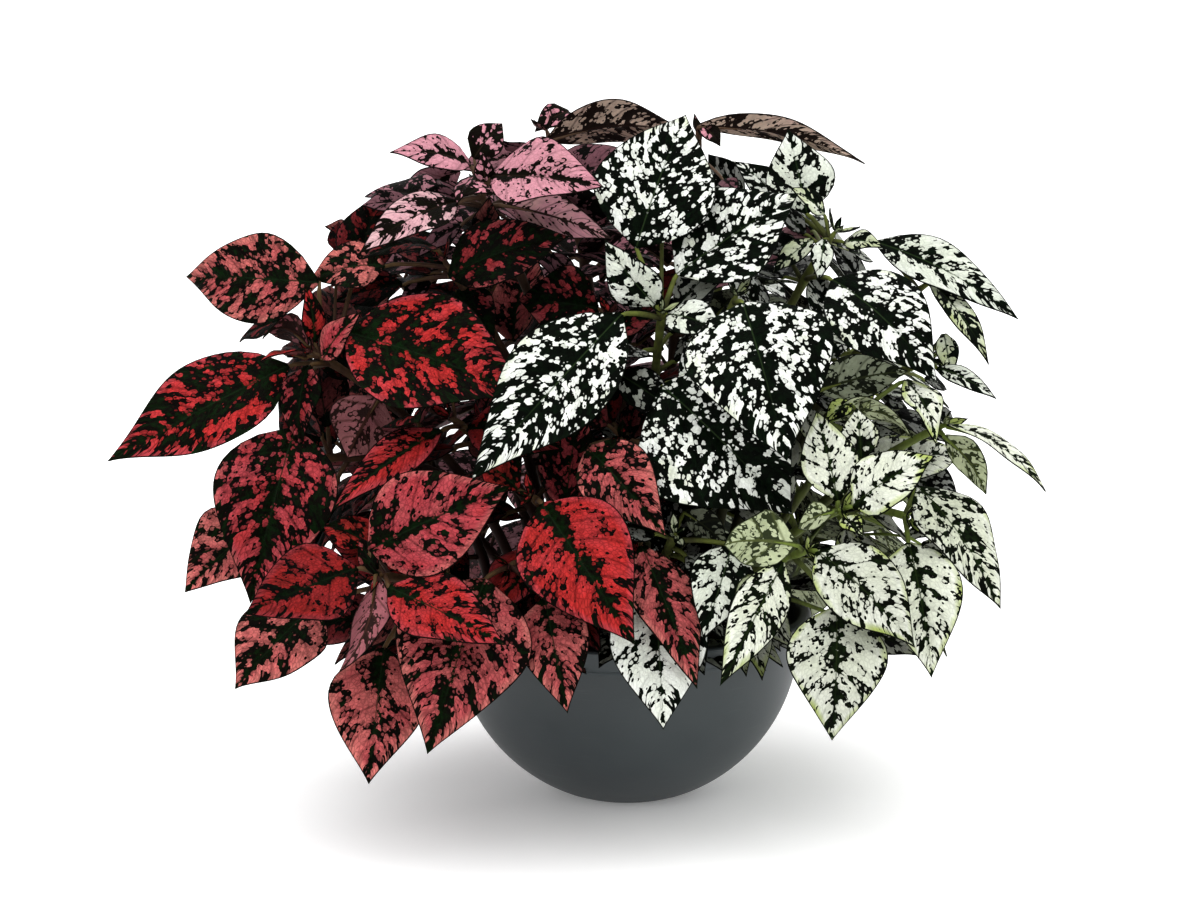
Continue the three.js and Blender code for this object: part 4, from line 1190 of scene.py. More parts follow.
def tube(path, radii, sides):
    """A closed round tube along a path, as points and faces."""
    path = np.asarray(path)
    tangents = np.gradient(path, axis=0)
    over = np.cross(tangents[0], SIDEWAYS)
    rings = []
    angles = np.arange(sides) * 2 * np.pi / sides
    for centre, tangent, radius in zip(path, tangents, radii):
        tangent = unit(tangent)
        over = unit(over - tangent * over.dot(tangent))
        up = np.cross(tangent, over)
        rings.append(centre + radius * (np.cos(angles)[:, None] * over + np.sin(angles)[:, None] * up))
    points = np.concatenate(rings)
    faces = []
    for k in range(len(path) - 1):
        for s in range(sides):
            a = k * sides + s
            b = k * sides + (s + 1) % sides
            faces.append((a, b, b + sides, a + sides))
    faces.append(tuple(reversed(range(sides))))
    faces.append(tuple(range(len(points) - sides, len(points))))
    return points, faces


def add_stalk_shell(shells, path, radii, sides, shares, own):
    """A tube in the stalk's material, with how far along it each ring is as a value."""
    points, faces = tube(path, radii, sides)
    share = np.repeat(shares, sides)
    edge = np.stack([np.zeros_like(share), np.zeros_like(share), share], axis=-1)
    shells.add(points, faces, STALK, edge=edge, own=np.array(own))


PETIOLE_SIDES = 8
PETIOLE_STEPS = 8
PETIOLE_RADII = (1.05, 0.8)
PETIOLE_ARCH = np.array([0.0, 0.0, 0.08])
LEAST_PETIOLE = 0.45
FULL_PETIOLE_LENGTH = 60.0
UNDER_BLADE = np.array([0.0, 0.07, 0.15, 0.25])
UNDER_BLADE_RADII = (0.72, 0.55, 0.4)
UNDER_BLADE_DROP = 0.85
RIB_SPREAD = np.array([-0.2, 0.0, 0.2])
PETIOLE_END = 0.15
PETIOLE_GREEN = 0.5


def petiole(shells, leaf):
    """The leaf stalk: out of the stem with a slight arch, and on under the blade as its midrib."""
    size = min(1.0, LEAST_PETIOLE + leaf.length / FULL_PETIOLE_LENGTH)
    end = leaf.surface(np.array([0.0]), np.array([0.0]))[0]
    bend = 0.5 * (leaf.root + end) + PETIOLE_ARCH * np.linalg.norm(end - leaf.root)
    path = [curved(leaf.root, bend, end, u) for u in np.linspace(0, 1, PETIOLE_STEPS, endpoint=False)]
    ribs = leaf.surface(*np.meshgrid(UNDER_BLADE, RIB_SPREAD, indexing="ij"), crown)
    normals = grid_normals(ribs)[:, 1]
    path += list(ribs[:, 1] - normals * (UNDER_BLADE_DROP * size))
    radii = np.array([*np.linspace(*PETIOLE_RADII, PETIOLE_STEPS), *UNDER_BLADE_RADII]) * size
    add_stalk_shell(shells, path, [*radii, PETIOLE_END], PETIOLE_SIDES, np.linspace(0, 1, len(path)),
                    (leaf.number, PETIOLE_GREEN, 1.0))


STALK_SIDES = 12
STALK_RINGS = 44
STALK_TOP = np.array([0.8, 0.35])
NODE_SWELL = 0.18
NODE_LENGTH = 2.2


def stalk(shells, curve, foot_radius, leaves, number):
    """A stem or a side shoot, swollen where its leaves are joined and rounded off at its top."""
    shares = np.linspace(0, 1, STALK_RINGS)
    path = np.array([curve.point(u) for u in shares])
    swell = np.zeros(STALK_RINGS)
    for leaf in leaves:
        away = np.linalg.norm(path - leaf.root, axis=1)
        swell = np.maximum(swell, NODE_SWELL * np.exp(-(away / NODE_LENGTH) ** 2))
    radii = (foot_radius + (STEM_TOP_RADIUS - foot_radius) * shares) * (1 + swell)
    radii[-2:] *= STALK_TOP
    add_stalk_shell(shells, path, radii, STALK_SIDES, shares, (number, 0.0, 0.0))


YOUNG_SIZES = (8.0, 5.0)
YOUNG_TURN = 1.4
YOUNG_STEM_TURN = 0.7
YOUNG_OFFSET = 0.8
YOUNG_SINK = 0.6
YOUNG_SPREAD = 0.9
YOUNG_SPREAD_LOSS = 0.3
YOUNG_FACE_IN = 0.6
YOUNG_WIDTH_SHARE = 0.42
YOUNG_ARCH_SHARE = -0.08
YOUNG_FOLD = 0.5
YOUNG_WAVE = 0.02
YOUNG_LEVEL = np.array([0.0, 1.0, 0.2])


def young_leaves(curve, number):
    """The small folded leaves that stand up at the tip of a stem or shoot."""
    axis = curve.tangent(1.0)
    level = unit(np.cross(axis, YOUNG_LEVEL))
    upright = np.cross(level, axis)
    root = curve.tip - axis * YOUNG_SINK
    leaves = []
    for pair, size in enumerate(YOUNG_SIZES):
        turn = YOUNG_TURN * pair + YOUNG_STEM_TURN * number
        across = level * math.cos(turn) + upright * math.sin(turn)
        for side, out in enumerate((-across, across)):
            base = curve.tip + out * YOUNG_OFFSET
            tip = base + unit(out * (YOUNG_SPREAD - YOUNG_SPREAD_LOSS * pair) + axis) * size
            leaf = Leaf(root, base, tip, YOUNG_WIDTH_SHARE * size, axis - out * YOUNG_FACE_IN,
                        YOUNG_ARCH_SHARE * size, YOUNG_FOLD, YOUNG_WAVE)
            leaf.number = FIRST_YOUNG_NUMBER + 4 * number + 2 * pair + side
            leaf.look = LOOKS["y"]
            leaves.append(leaf)
    return leaves


# Materials

SEED_STEP = 37.0


class Surface:
    """A node material, with short calls for the nodes that the surfaces here are made of."""

    def __init__(self, name):
        self.material = bpy.data.materials.new(name)
        self.material.use_nodes = True
        self.tree = self.material.node_tree
        self.shader = self.tree.nodes["Principled BSDF"]

    def feed(self, socket, value):
        if isinstance(value, bpy.types.NodeSocket):
            self.tree.links.new(value, socket)
        elif hasattr(value, "__len__") and len(value) == 3 and len(socket.default_value) == 4:
            socket.default_value = (*value, 1.0)
        else:
            socket.default_value = value

    def node(self, kind, inputs=None, **settings):
        node = self.tree.nodes.new("ShaderNode" + kind)
        for name, value in settings.items():
            setattr(node, name, value)
        for socket, value in (inputs or {}).items():
            self.feed(node.inputs[socket], value)
        return node

    def math(self, operation, a, b=0.0, c=0.0):
        return self.node("Math", {0: a, 1: b, 2: c}, operation=operation).outputs[0]

    def times(self, a, b):
        return self.math("MULTIPLY", a, b)

    def minus(self, a, b):
        return self.math("SUBTRACT", a, b)

    def scaled(self, value, factor, start):
        """The start, and the value times the factor on top of it."""
        return self.math("MULTIPLY_ADD", value, factor, start)

    def without(self, value):
        return self.minus(1.0, value)

    def step(self, value, low, high):
        """0 below low, 1 above high, and smooth between."""
        inputs = {0: value, 1: low, 2: high}
        return self.node("MapRange", inputs, interpolation_type="SMOOTHSTEP").outputs[0]

    def mixed(self, share, a, b, blend="MIX"):
        node = self.node("Mix", {0: share, 6: a, 7: b}, data_type="RGBA", blend_type=blend)
        return node.outputs[2]

    def shaded(self, colour, shade):
        return self.mixed(1.0, colour, self.vector(shade, shade, shade), "MULTIPLY")

    def ramp(self, value, colours):
        """Evenly spaced colours between 0 and 1."""
        node = self.node("ValToRGB", {0: value})
        stops = node.color_ramp.elements
        while len(stops) < len(colours):
            stops.new(1.0)
        for k, colour in enumerate(colours):
            stops[k].position = k / (len(colours) - 1)
            stops[k].color = (*colour, 1.0)
        return node.outputs[0]

    def noise(self, vector, scale, detail=2.0, roughness=0.5, flat=True):
        """Smooth noise round 0.5, or as a colour when it is not flat."""
        inputs = {"Vector": vector, "Scale": scale, "Detail": detail, "Roughness": roughness}
        return self.node("TexNoise", inputs).outputs["Fac" if flat else "Color"]

    def shifted(self, colour, reach):
        """Turns a noise colour into a push of up to half the reach either way."""
        node = self.node("VectorMath", {0: colour, 1: (0.5, 0.5, 0.5)}, operation="SUBTRACT")
        return self.node("VectorMath", {0: node.outputs[0], "Scale": reach}, operation="SCALE").outputs[0]

    def position(self):
        """The point in metres, as the piece lies at rest."""
        return self.node("TexCoord").outputs["Object"]

    def streaks(self, scale):
        """Noise round 0.5 with its own scale along each axis."""
        stretched = self.node("Mapping", {"Vector": self.position(), "Scale": scale}).outputs[0]
        return self.noise(stretched, 1.0, 3.0, 0.6)

    def cells(self, vector, size_mm):
        inputs = {"Vector": vector, "Scale": 1.0 / size_mm}
        return self.node("TexVoronoi", inputs, feature="F1", voronoi_dimensions="2D").outputs

    def values(self, name):
        vector = self.node("Attribute", attribute_name=name).outputs["Vector"]
        return self.node("SeparateXYZ", {0: vector}).outputs

    def vector(self, x, y, z):
        return self.node("CombineXYZ", {0: x, 1: y, 2: z}).outputs[0]

    def set(self, **sockets):
        for name, value in sockets.items():
            self.feed(self.shader.inputs[name.replace("_", " ").title()], value)

    def gloss(self, level):
        self.shader.inputs["Specular IOR Level"].default_value = level

    def bump(self, height, strength, distance_mm):
        node = self.node("Bump", {"Height": height, "Strength": strength, "Distance": distance_mm * MM})
        self.feed(self.shader.inputs["Normal"], node.outputs["Normal"])


# The patches: their cells, the share of each noise in a cell's level, how much the midrib and side
# veins lower it, how fast a patch grows with it, and the dark specks on a patch. Lengths in millimetres.
CELL_MM = 1.55
CELL_BEND = 0.9
VEINWARD = 0.8
BROAD_SHARE = 0.58
SMALL_SHARE = 0.42
SMALLER = 2.3
VEIN_DIP = 0.20
RIB_WIDTH_AT_BASE = 0.34
RIB_NARROWING = -0.28
VEIN_REACH = 0.12
COVER_REACH = 0.36
PATCH_GROWTH = 5.5
PATCH_START = 0.34
PATCH_SOFTNESS = 0.04
SPECK_MM = 1.7
SPECK_RADIUS = 0.14
SPECK_SPREAD = 0.16
SPECK_SOFTNESS = 0.05
DARK_MARGIN = (0.2, 0.5)


def pattern(s, blotch_mm, scatter, specks):
    """The patches of a blade: 1 on a patch and 0 on the dark ground, how far over or under the patches'
    threshold the point is, and the closeness to a side vein and to the midrib. The blade is divided in
    small cells. A cell's own level gives the reach of the patch round its centre, so that low cells
    hold dots and high ones grow together."""
    across, along, _ = s.values("place")
    edge, phase, t = s.values("edge")
    cover, rib, veins = s.values("look")
    seed, _, half = s.values("own")
    here = s.vector(s.scaled(seed, SEED_STEP, along), s.scaled(seed, 0.6 * SEED_STEP, across), 0.0)
    bend = s.shifted(s.noise(here, CELL_BEND, 1.0, 0.5, flat=False), CELL_BEND)
    cells = s.cells(s.node("VectorMath", {0: here, 1: bend}, operation="ADD").outputs[0], CELL_MM)
    centre = s.node("VectorMath", {0: cells["Position"], 1: (1.0, VEINWARD, 1.0)}, operation="MULTIPLY")
    broad = s.noise(centre.outputs[0], 1.0 / blotch_mm, 0.0)
    small = s.noise(centre.outputs[0], SMALLER / blotch_mm, 0.0)
    own_level = s.node("SeparateColor", {0: cells["Color"]}).outputs[0]
    level = s.scaled(own_level, scatter, -0.5 * scatter)
    level = s.scaled(small, SMALL_SHARE, level)
    level = s.scaled(broad, BROAD_SHARE, level)

    rib_width = s.times(half, s.scaled(t, RIB_NARROWING, RIB_WIDTH_AT_BASE))
    near_rib = s.without(s.step(s.math("ABSOLUTE", across), 0.0, rib_width))
    level = s.minus(level, s.times(s.times(near_rib, rib), VEIN_DIP))
    near_vein = s.without(s.step(s.math("PINGPONG", phase, 0.5), 0.0, VEIN_REACH))
    level = s.minus(level, s.times(s.times(near_vein, veins), VEIN_DIP))
    threshold = s.scaled(s.minus(0.5, cover), COVER_REACH, 0.5)
    over = s.minus(level, threshold)
    reach = s.scaled(over, PATCH_GROWTH, PATCH_START)
    patch = s.step(s.minus(reach, cells["Distance"]), -PATCH_SOFTNESS, PATCH_SOFTNESS)

    spots = s.cells(here, SPECK_MM)
    chance = s.node("SeparateColor", {0: spots["Color"]}).outputs
    radius = s.scaled(chance[1], SPECK_SPREAD, SPECK_RADIUS)
    speck = s.without(s.step(s.minus(spots["Distance"], radius), -SPECK_SOFTNESS, SPECK_SOFTNESS))
    speck = s.times(speck, s.without(s.step(chance[0], specks, specks + 0.02)))
    patch = s.times(patch, s.without(speck))
    patch = s.times(patch, s.step(edge, *DARK_MARGIN))
    return patch, over, near_vein, near_rib


# The net of small veins and the grain of the skin, in cells or turns for each millimetre
NET_SCALE = 0.75
NET_WIDTH = 0.16
GRAIN_SCALE = 3.5
RELIEF_STRENGTH = 0.5
RELIEF_MM = 0.18


def fine_relief(s):
    """The fine net of small veins and the grain of the skin, as a bump. Returns both as a shade, low
    on a vein."""
    across, along, _ = s.values("place")
    seed, _, _ = s.values("own")
    plain = s.vector(along, across, seed)
    net = s.node("TexVoronoi", {"Vector": plain, "Scale": NET_SCALE}, feature="DISTANCE_TO_EDGE")
    net = s.step(net.outputs["Distance"], 0.0, NET_WIDTH)
    grain = s.noise(plain, GRAIN_SCALE, 2.0, 0.6)
    s.bump(s.scaled(grain, 0.35, net), RELIEF_STRENGTH, RELIEF_MM)
    return s.scaled(grain, 0.7, s.times(net, 0.65))


# How the colour drifts over a blade, and how wide its margin's own colour is
DRIFT_SCALE = 0.09
DRIFT_REACH = 1.5
MARGIN_MM = (0.3, 4.0)
TONE_STEP = 1 / 3


def toned(s, tones, edging):
    """The colour of a leaf's patches, which drifts a little along the tint's row of tones, and also
    by the edging near the margin."""
    across, along, _ = s.values("place")
    edge, _, _ = s.values("edge")
    seed, tone, _ = s.values("own")
    drift = s.noise(s.vector(along, across, seed), DRIFT_SCALE, 2.0, 0.5)
    tone = s.scaled(s.minus(drift, 0.5), DRIFT_REACH, tone)
    margin = s.times(s.without(s.step(edge, *MARGIN_MM)), s.times(drift, 2.0))
    tone = s.scaled(margin, edging, tone)
    return s.ramp(s.scaled(tone, TONE_STEP, TONE_STEP), tones)


def mottling_of(s, offset, roughness):
    across, along, _ = s.values("place")
    seed, _, _ = s.values("own")
    return s.noise(s.vector(along, across, s.math("ADD", seed, offset)), 0.5, 3.0, roughness)


UPPER_GLOSS = 0.04
UNDER_GLOSS = 0.12
RIB_LINE_MM = (0.12, 0.4)
RIB_LINE_END = (0.35, 0.85)
RIB_LINE_SHARE = 0.8


def upper_material(tint, tones, ground, ground_green, rib_tone, blotch_mm, dots, mottling, edging,
                   vein_groove_shade):
    s = Surface(f"{tint}_leaf_upper")
    patch, over, near_vein, near_rib = pattern(s, blotch_mm, *dots)
    # shade here is the leaf's painted shade, a factor on the whole upper face's colour.
    across, _, shade = s.values("place")
    _, _, t = s.values("edge")
    mottle = mottling_of(s, 3.3, 0.65)
    patch_colour = s.shaded(toned(s, tones, edging), s.scaled(mottle, 2 * mottling, 1 - mottling))
    depth = s.step(over, -0.02, 0.12)
    patch_colour = s.shaded(patch_colour, s.scaled(depth, 0.9 * mottling, 1 - 0.9 * mottling))
    patch_colour = s.shaded(patch_colour, s.scaled(fine_relief(s), mottling, 1 - 0.8 * mottling))
    greener = s.math("MAXIMUM", near_rib, s.without(s.step(over, -0.16, -0.05)))
    ground_colour = s.mixed(s.times(greener, s.step(mottle, 0.3, 0.7)), ground, ground_green)
    colour = s.mixed(patch, ground_colour, patch_colour)
    line = s.without(s.step(s.math("ABSOLUTE", across), *RIB_LINE_MM))
    line = s.times(line, s.without(s.step(t, *RIB_LINE_END)))
    colour = s.mixed(s.times(line, RIB_LINE_SHARE), colour, rib_tone)
    # Painted shade: the whole leaf darkened or lightened by its painted shade, and the grooves along the
    # side veins darkened as painted shade.
    colour = s.shaded(colour, s.times(shade, s.scaled(near_vein, -vein_groove_shade, 1.0)))
    s.set(base_color=colour, roughness=s.scaled(mottle, 0.25, 0.40))
    s.gloss(UPPER_GLOSS)
    return s.material


def under_material(tint, tones, deep, vein_tone, blotch_mm):
    s = Surface(f"{tint}_leaf_under")
    patch, _, near_vein, near_rib = pattern(s, blotch_mm, 0.2, 0.2)
    # shade here is the leaf's painted shade, a factor on the whole underside's colour.
    _, _, shade = s.values("place")
    mottle = mottling_of(s, 8.1, 0.6)
    pale = s.shaded(toned(s, tones, 0.0), s.scaled(mottle, 0.8, 0.6))
    colour = s.mixed(patch, deep, pale)
    lines = s.math("MAXIMUM", s.times(near_vein, 0.6), s.step(near_rib, 0.8, 0.97))
    colour = s.shaded(s.mixed(lines, colour, vein_tone), shade)
    s.set(base_color=colour, roughness=s.scaled(mottle, 0.2, 0.5))
    s.gloss(UNDER_GLOSS)
    fine_relief(s)
    return s.material


STREAKS_UPWARD = (900.0, 900.0, 90.0)
STALK_GLOSS = 0.2


def stalk_material(tint, young, old):
    s = Surface(f"{tint}_stalk")
    _, _, height = s.values("edge")
    _, leafy, _ = s.values("own")
    streaks = s.streaks(STREAKS_UPWARD)
    mottle = s.noise(s.position(), 260.0, 2.0, 0.5)
    share = s.scaled(s.minus(mottle, 0.5), 0.9, height)
    colour = s.mixed(s.step(s.math("ADD", share, leafy), 0.45, 1.3), old, young)
    colour = s.shaded(colour, s.scaled(streaks, 0.7, 0.62))
    s.set(base_color=colour, roughness=s.scaled(streaks, 0.25, 0.45))
    s.gloss(STALK_GLOSS)
    s.bump(streaks, 0.5, 0.15)
    return s.material


# The tones of each tint's patches, from pale over cool and warm to young, of the ground between them,
# of the underside and of the stalks. The last value of each upper face darkens the grooves along the side
# veins as painted shade.
TINTS = {
    "red": {
        "upper": {
            "tones": [(0.51, 0.165, 0.148), (0.39, 0.064, 0.077), (0.41, 0.03, 0.029), (0.13, 0.03, 0.018)],
            "ground": (0.0034, 0.0016, 0.0008), "ground_green": (0.004, 0.018, 0.003),
            "rib_tone": (0.010, 0.024, 0.008), "blotch_mm": 6.0, "dots": (0.20, 0.12), "mottling": 0.62,
            "edging": -0.7, "vein_groove_shade": 0.40,
        },
        "under": {
            "tones": [(0.42, 0.20, 0.19), (0.36, 0.13, 0.15), (0.30, 0.085, 0.095), (0.12, 0.04, 0.03)],
            "deep": (0.030, 0.012, 0.010), "vein_tone": (0.07, 0.028, 0.02),
        },
        "stalk": ((0.10, 0.06, 0.024), (0.045, 0.018, 0.014)),
    },
    "pink": {
        "upper": {
            "tones": [(0.70, 0.46, 0.48), (0.58, 0.26, 0.32), (0.62, 0.31, 0.36), (0.30, 0.15, 0.10)],
            "ground": (0.006, 0.003, 0.002), "ground_green": (0.007, 0.008, 0.003),
            "rib_tone": (0.03, 0.018, 0.012), "blotch_mm": 5.6, "dots": (0.22, 0.14), "mottling": 0.28,
            "edging": -0.3, "vein_groove_shade": 0.30,
        },
        "under": {
            "tones": [(0.56, 0.44, 0.36), (0.54, 0.28, 0.32), (0.48, 0.24, 0.28), (0.24, 0.14, 0.10)],
            "deep": (0.014, 0.008, 0.006), "vein_tone": (0.03, 0.015, 0.012),
        },
        "stalk": ((0.13, 0.08, 0.05), (0.06, 0.032, 0.02)),
    },
    "white": {
        "upper": {
            "tones": [(0.56, 0.60, 0.53), (0.64, 0.68, 0.58), (0.76, 0.78, 0.74), (0.38, 0.44, 0.18)],
            "ground": (0.0008, 0.0018, 0.0006), "ground_green": (0.003, 0.009, 0.003),
            "rib_tone": (0.028, 0.050, 0.018), "blotch_mm": 5.6, "dots": (0.26, 0.12), "mottling": 0.20,
            "edging": 0.2, "vein_groove_shade": 0.12,
        },
        "under": {
            "tones": [(0.45, 0.48, 0.40), (0.40, 0.44, 0.32), (0.42, 0.46, 0.34), (0.30, 0.36, 0.14)],
            "deep": (0.012, 0.016, 0.008), "vein_tone": (0.04, 0.05, 0.02),
        },
        "stalk": ((0.16, 0.19, 0.04), (0.06, 0.06, 0.024)),
    },
    "cream": {
        "upper": {
            "tones": [(0.60, 0.63, 0.55), (0.58, 0.61, 0.49), (0.68, 0.70, 0.62), (0.40, 0.47, 0.16)],
            "ground": (0.002, 0.003, 0.001), "ground_green": (0.010, 0.022, 0.005),
            "rib_tone": (0.020, 0.035, 0.008), "blotch_mm": 4.2, "dots": (0.22, 0.22), "mottling": 0.22,
            "edging": 0.9, "vein_groove_shade": 0.15,
        },
        "under": {
            "tones": [(0.52, 0.56, 0.42), (0.48, 0.53, 0.34), (0.54, 0.58, 0.40), (0.36, 0.42, 0.16)],
            "deep": (0.035, 0.045, 0.018), "vein_tone": (0.10, 0.12, 0.04),
        },
        "stalk": ((0.15, 0.20, 0.04), (0.07, 0.08, 0.025)),
    },
}


def leaf_materials(tint):
    tones = TINTS[tint]
    upper = upper_material(tint, **tones["upper"])
    under = under_material(tint, blotch_mm=tones["upper"]["blotch_mm"], **tones["under"])
    return [upper, under, stalk_material(tint, *tones["stalk"])]


POT_TONES = [(0.042, 0.052, 0.056), (0.052, 0.063, 0.067)]
SCUFF_TONE = (0.08, 0.095, 0.095)
SCUFFS_ROUND = (40.0, 40.0, 700.0)


def plastic_material():
    s = Surface("pot_plastic")
    broad = s.noise(s.position(), 22.0, 3.0, 0.6)
    fine = s.noise(s.position(), 1500.0, 2.0, 0.5)
    scuffs = s.streaks(SCUFFS_ROUND)
    colour = s.mixed(s.step(broad, 0.35, 0.7), *POT_TONES)
    colour = s.mixed(s.times(s.step(scuffs, 0.62, 0.75), 0.3), colour, SCUFF_TONE)
    s.set(base_color=colour, roughness=s.scaled(broad, 0.15, 0.36))
    s.bump(s.scaled(scuffs, 0.4, fine), 0.25, 0.08)
    return s.material


CRUMB_TONES = [(0.010, 0.006, 0.004), (0.055, 0.032, 0.018)]
DAMP_TONE = (0.020, 0.012, 0.008)
CRUMB_SCALE = 420.0
SOIL_GLOSS = 0.2


def soil_material():
    s = Surface("potting_mix")
    crumbs = s.node("TexVoronoi", {"Vector": s.position(), "Scale": CRUMB_SCALE}, feature="F1")
    tone = s.node("SeparateColor", {0: crumbs.outputs["Color"]}).outputs[0]
    broad = s.noise(s.position(), 60.0, 3.0, 0.6)
    colour = s.mixed(s.step(broad, 0.55, 0.75), s.mixed(tone, *CRUMB_TONES), DAMP_TONE)
    s.set(base_color=colour, roughness=s.scaled(tone, 0.1, 0.85))
    s.gloss(SOIL_GLOSS)
    s.bump(crumbs.outputs["Distance"], 0.8, 1.2)
    return s.material


# Pot and soil

TURN_SIDES = 144


def turned(shells, profile, lump=None):
    """A closed shell turned about the pot's axis from (radius, height) points, axis to axis."""
    angles = np.arange(TURN_SIDES) * 2 * np.pi / TURN_SIDES
    inner = profile[1:-1]
    rings = [np.stack([r * np.cos(angles), r * np.sin(angles), np.full(TURN_SIDES, z)], axis=-1)
             for r, z in inner]
    points = np.concatenate(rings + [np.array([[0, 0, profile[0][1]], [0, 0, profile[-1][1]]])])
    if lump:
        points[:, 2] += lump(points)
    first = len(points) - 2
    last = len(points) - 1
    faces = []
    for s in range(TURN_SIDES):
        after = (s + 1) % TURN_SIDES
        faces.append((first, after, s))
        for k in range(len(inner) - 1):
            low = k * TURN_SIDES
            high = low + TURN_SIDES
            faces.append((low + s, low + after, high + after, high + s))
        top = (len(inner) - 1) * TURN_SIDES
        faces.append((last, top + s, top + after))
    shells.add(points, faces, 0)


def bowl_radius(height, shrink):
    radius = BOWL_RADIUS - shrink
    below = max(BOWL_CENTRE_HEIGHT - height, 0.0)
    return math.sqrt(max(radius ** 2 - below ** 2, 0.0))


ROUNDING = 0.6
MOST_ROUNDED = 0.45
ROUNDING_PARTS = 4


def rounded(profile):
    """The same outline with each corner that is marked by a True rounded off."""
    points = []
    for k, (r, z, soft) in enumerate(profile):
        here = np.array([r, z])
        if not soft:
            points.append(tuple(here))
            continue
        ends = []
        for beside in (profile[k - 1], profile[k + 1]):
            side = np.array(beside[:2]) - here
            ends.append(here + unit(side) * min(ROUNDING, MOST_ROUNDED * np.linalg.norm(side)))
        for part in range(ROUNDING_PARTS + 1):
            points.append(tuple(curved(ends[0], here, ends[1], part / ROUNDING_PARTS)))
    return points


# The pot's base is a ring round a raised middle. Its band stands out from the bowl under the rim,
# widens a little upward, and ends in a rounded lip.
BASE_HOLLOW = 0.8
BASE_RING = 2.5
BASE_SLOPE = 1.0
BASE_EDGE = 1.6
BAND_NECK = 1.2
BAND_FOOT = [(2.0, -0.4), (1.2, 0.5)]
LIP = [(0.3, 1.4), (0.0, 0.9), (0.6, 0.0)]
LIP_SLOPE = 1.5
LIP_EDGE = 0.5
FLOOR_HEIGHT = 4.0


def make_pot(material):
    band_foot = POT_HEIGHT - RIM_BAND
    lip_radius = RIM_RADIUS - WALL - LIP_SLOPE
    ring_radius = BASE_RADIUS - BASE_RING
    outside = [(bowl_radius(z, 0), z, False) for z in np.linspace(BASE_EDGE, band_foot - BAND_NECK, 40)]
    inside = [(bowl_radius(z, WALL), z, False) for z in np.linspace(SOIL_TOP, FLOOR_HEIGHT, 30)]
    profile = [
        (0, BASE_HOLLOW, False), (ring_radius - BASE_SLOPE, BASE_HOLLOW, True), (ring_radius, 0, True),
        (BASE_RADIUS, 0, True), *outside,
        *[(RIM_RADIUS - inward, band_foot + rise, True) for inward, rise in BAND_FOOT],
        *[(RIM_RADIUS - inward, POT_HEIGHT - drop, True) for inward, drop in LIP],
        (lip_radius + LIP_EDGE, POT_HEIGHT, True), (lip_radius, POT_HEIGHT - LIP_SLOPE, True),
        *inside, (0, FLOOR_HEIGHT, False),
    ]
    shells = Shells()
    turned(shells, rounded(profile))
    shells.piece("pot_bowl", [material], "pot", "pot")


BROAD_LUMP = 0.7
SIDE_LUMP = 0.4
CRUMB = 0.35
FINE_CRUMB = 0.22
SOIL_FOOT = FLOOR_HEIGHT + SOIL_GAP
TOP_CLEAR = 0.06
LUMPS_ABOVE_EDGE = 0.05


def soil_lump(points):
    """How far the soil's surface rises or sinks at each point: waves of several lengths that cross."""
    x, y, z = points.T
    broad = BROAD_LUMP * np.sin(0.21 * x + 0.9) * np.cos(0.17 * y) + SIDE_LUMP * np.sin(0.4 * x - 0.33 * y)
    crumbs = CRUMB * np.sin(1.3 * x + 2.1 * np.sin(0.9 * y)) * np.cos(1.1 * y + 1.7 * np.sin(1.2 * x))
    fine = FINE_CRUMB * np.sin(3.1 * x + 1.9 * y) * np.cos(2.7 * y - 2.3 * x)
    return np.where(z > SOIL_TOP + LUMPS_ABOVE_EDGE, broad + crumbs + fine, 0.0)


def make_soil(material):
    inner = WALL + SOIL_GAP
    edge = bowl_radius(SOIL_TOP, inner)
    side = [(bowl_radius(z, inner), z) for z in np.linspace(SOIL_FOOT, SOIL_TOP, 16)]
    top = [(edge * share, SOIL_TOP + SOIL_DOME * (1 - share) + TOP_CLEAR)
           for share in np.linspace(0.99, 0.02, 60)]
    shells = Shells()
    turned(shells, [(0, SOIL_FOOT), *side, *top, (0, SOIL_TOP + SOIL_DOME)], soil_lump)
    shells.piece("potting_soil", [material], "soil", "soil")


def make_leafy_stem(stem, number, materials):
    shells = Shells()
    main, *shoots = stem.curves
    leaves = stem.leaves + stem.inner + stem.filling
    stalk(shells, main, STEM_FOOT_RADIUS, leaves, number)
    for shoot in shoots:
        stalk(shells, shoot, SHOOT_RADIUS, leaves, number)
    for leaf in leaves:
        petiole(shells, leaf)
        blade(shells, leaf)
    for index, curve in enumerate(stem.curves):
        for leaf in young_leaves(curve, 3 * number + index):
            blade(shells, leaf)
    shells.piece(f"leafy_{stem.name}", materials, f"{stem.tint}_foliage", f"stem_{stem.name}")


# Floor and light

FLOOR_GLOW = 0.2
FLOOR_REACH_M = 30.0
FLOOR_TONES = [(0.90, 0.90, 0.90), (0.93, 0.93, 0.93)]


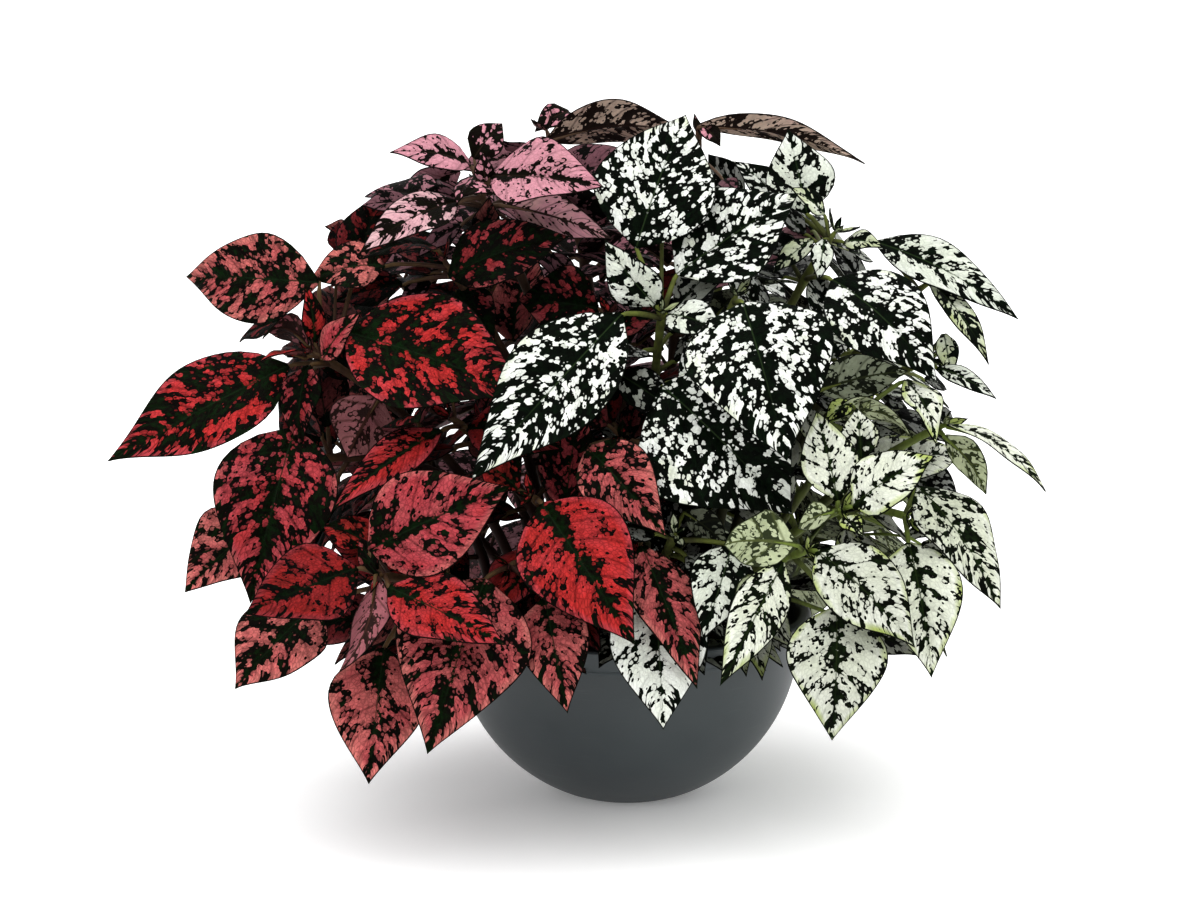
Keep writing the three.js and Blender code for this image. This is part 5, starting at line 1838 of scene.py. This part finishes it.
def make_floor():
    """A white table that is also lit a little from below, as for pictures on a white ground."""
    s = Surface("pale_floor")
    tone = s.noise(s.position(), 3.0, 2.0, 0.5)
    s.set(base_color=s.mixed(tone, *FLOOR_TONES), roughness=0.9,
          emission_color=(1.0, 1.0, 1.0), emission_strength=FLOOR_GLOW)
    mesh = bpy.data.meshes.new("floor")
    corners = [(x * FLOOR_REACH_M, y * FLOOR_REACH_M, 0) for x, y in ((-1, -1), (1, -1), (1, 1), (-1, 1))]
    mesh.from_pydata(corners, [], [(0, 1, 2, 3)])
    mesh.materials.append(s.material)
    floor = bpy.data.objects.new("floor", mesh)
    bpy.context.collection.objects.link(floor)


# Each light: its name, azimuth, elevation, strength and spread
SUNS = [
    ("key", -24, 56, 2.3, 75),
    ("fill", 80, 40, 0.9, 90),
    ("back", 175, 45, 1.7, 90),
]
WORLD_LIGHT = 0.46
WORLD_SEEN = 1.0
VIEW_GAMMA = 0.86


def add_sun(name, azimuth, elevation, strength, spread):
    """A broad light at infinity: azimuth 0 shines from the front, and 90 from the right."""
    data = bpy.data.lights.new(name, "SUN")
    data.energy = strength
    data.angle = math.radians(spread)
    light = bpy.data.objects.new(name, data)
    light.rotation_euler = (math.radians(90 - elevation), 0.0, math.radians(azimuth))
    bpy.context.collection.objects.link(light)


def light_scene():
    world = bpy.data.worlds.new("studio")
    world.use_nodes = True
    nodes = world.node_tree.nodes
    background = nodes["Background"]
    background.inputs["Color"].default_value = (1.0, 1.0, 1.0, 1.0)
    seen_share = nodes.new("ShaderNodeLightPath").outputs["Is Camera Ray"]
    strength = nodes.new("ShaderNodeMapRange")
    strength.inputs["To Min"].default_value = WORLD_LIGHT
    strength.inputs["To Max"].default_value = WORLD_SEEN
    world.node_tree.links.new(seen_share, strength.inputs["Value"])
    world.node_tree.links.new(strength.outputs[0], background.inputs["Strength"])
    bpy.context.scene.world = world
    for sun in SUNS:
        add_sun(*sun)
    view = bpy.context.scene.view_settings
    view.view_transform = "Standard"
    view.gamma = VIEW_GAMMA


stems = plant_stems()
clear_leaves(stems)
crowd = Crowd(stems)
add_inner_leaves(stems, crowd)
add_filling_leaves(stems, crowd)
set_looks(stems)

make_floor()
light_scene()
make_pot(plastic_material())
make_soil(soil_material())
tint_materials = {tint: leaf_materials(tint) for tint in TINTS}
for number, stem in enumerate(stems):
    make_leafy_stem(stem, number, tint_materials[stem.tint])
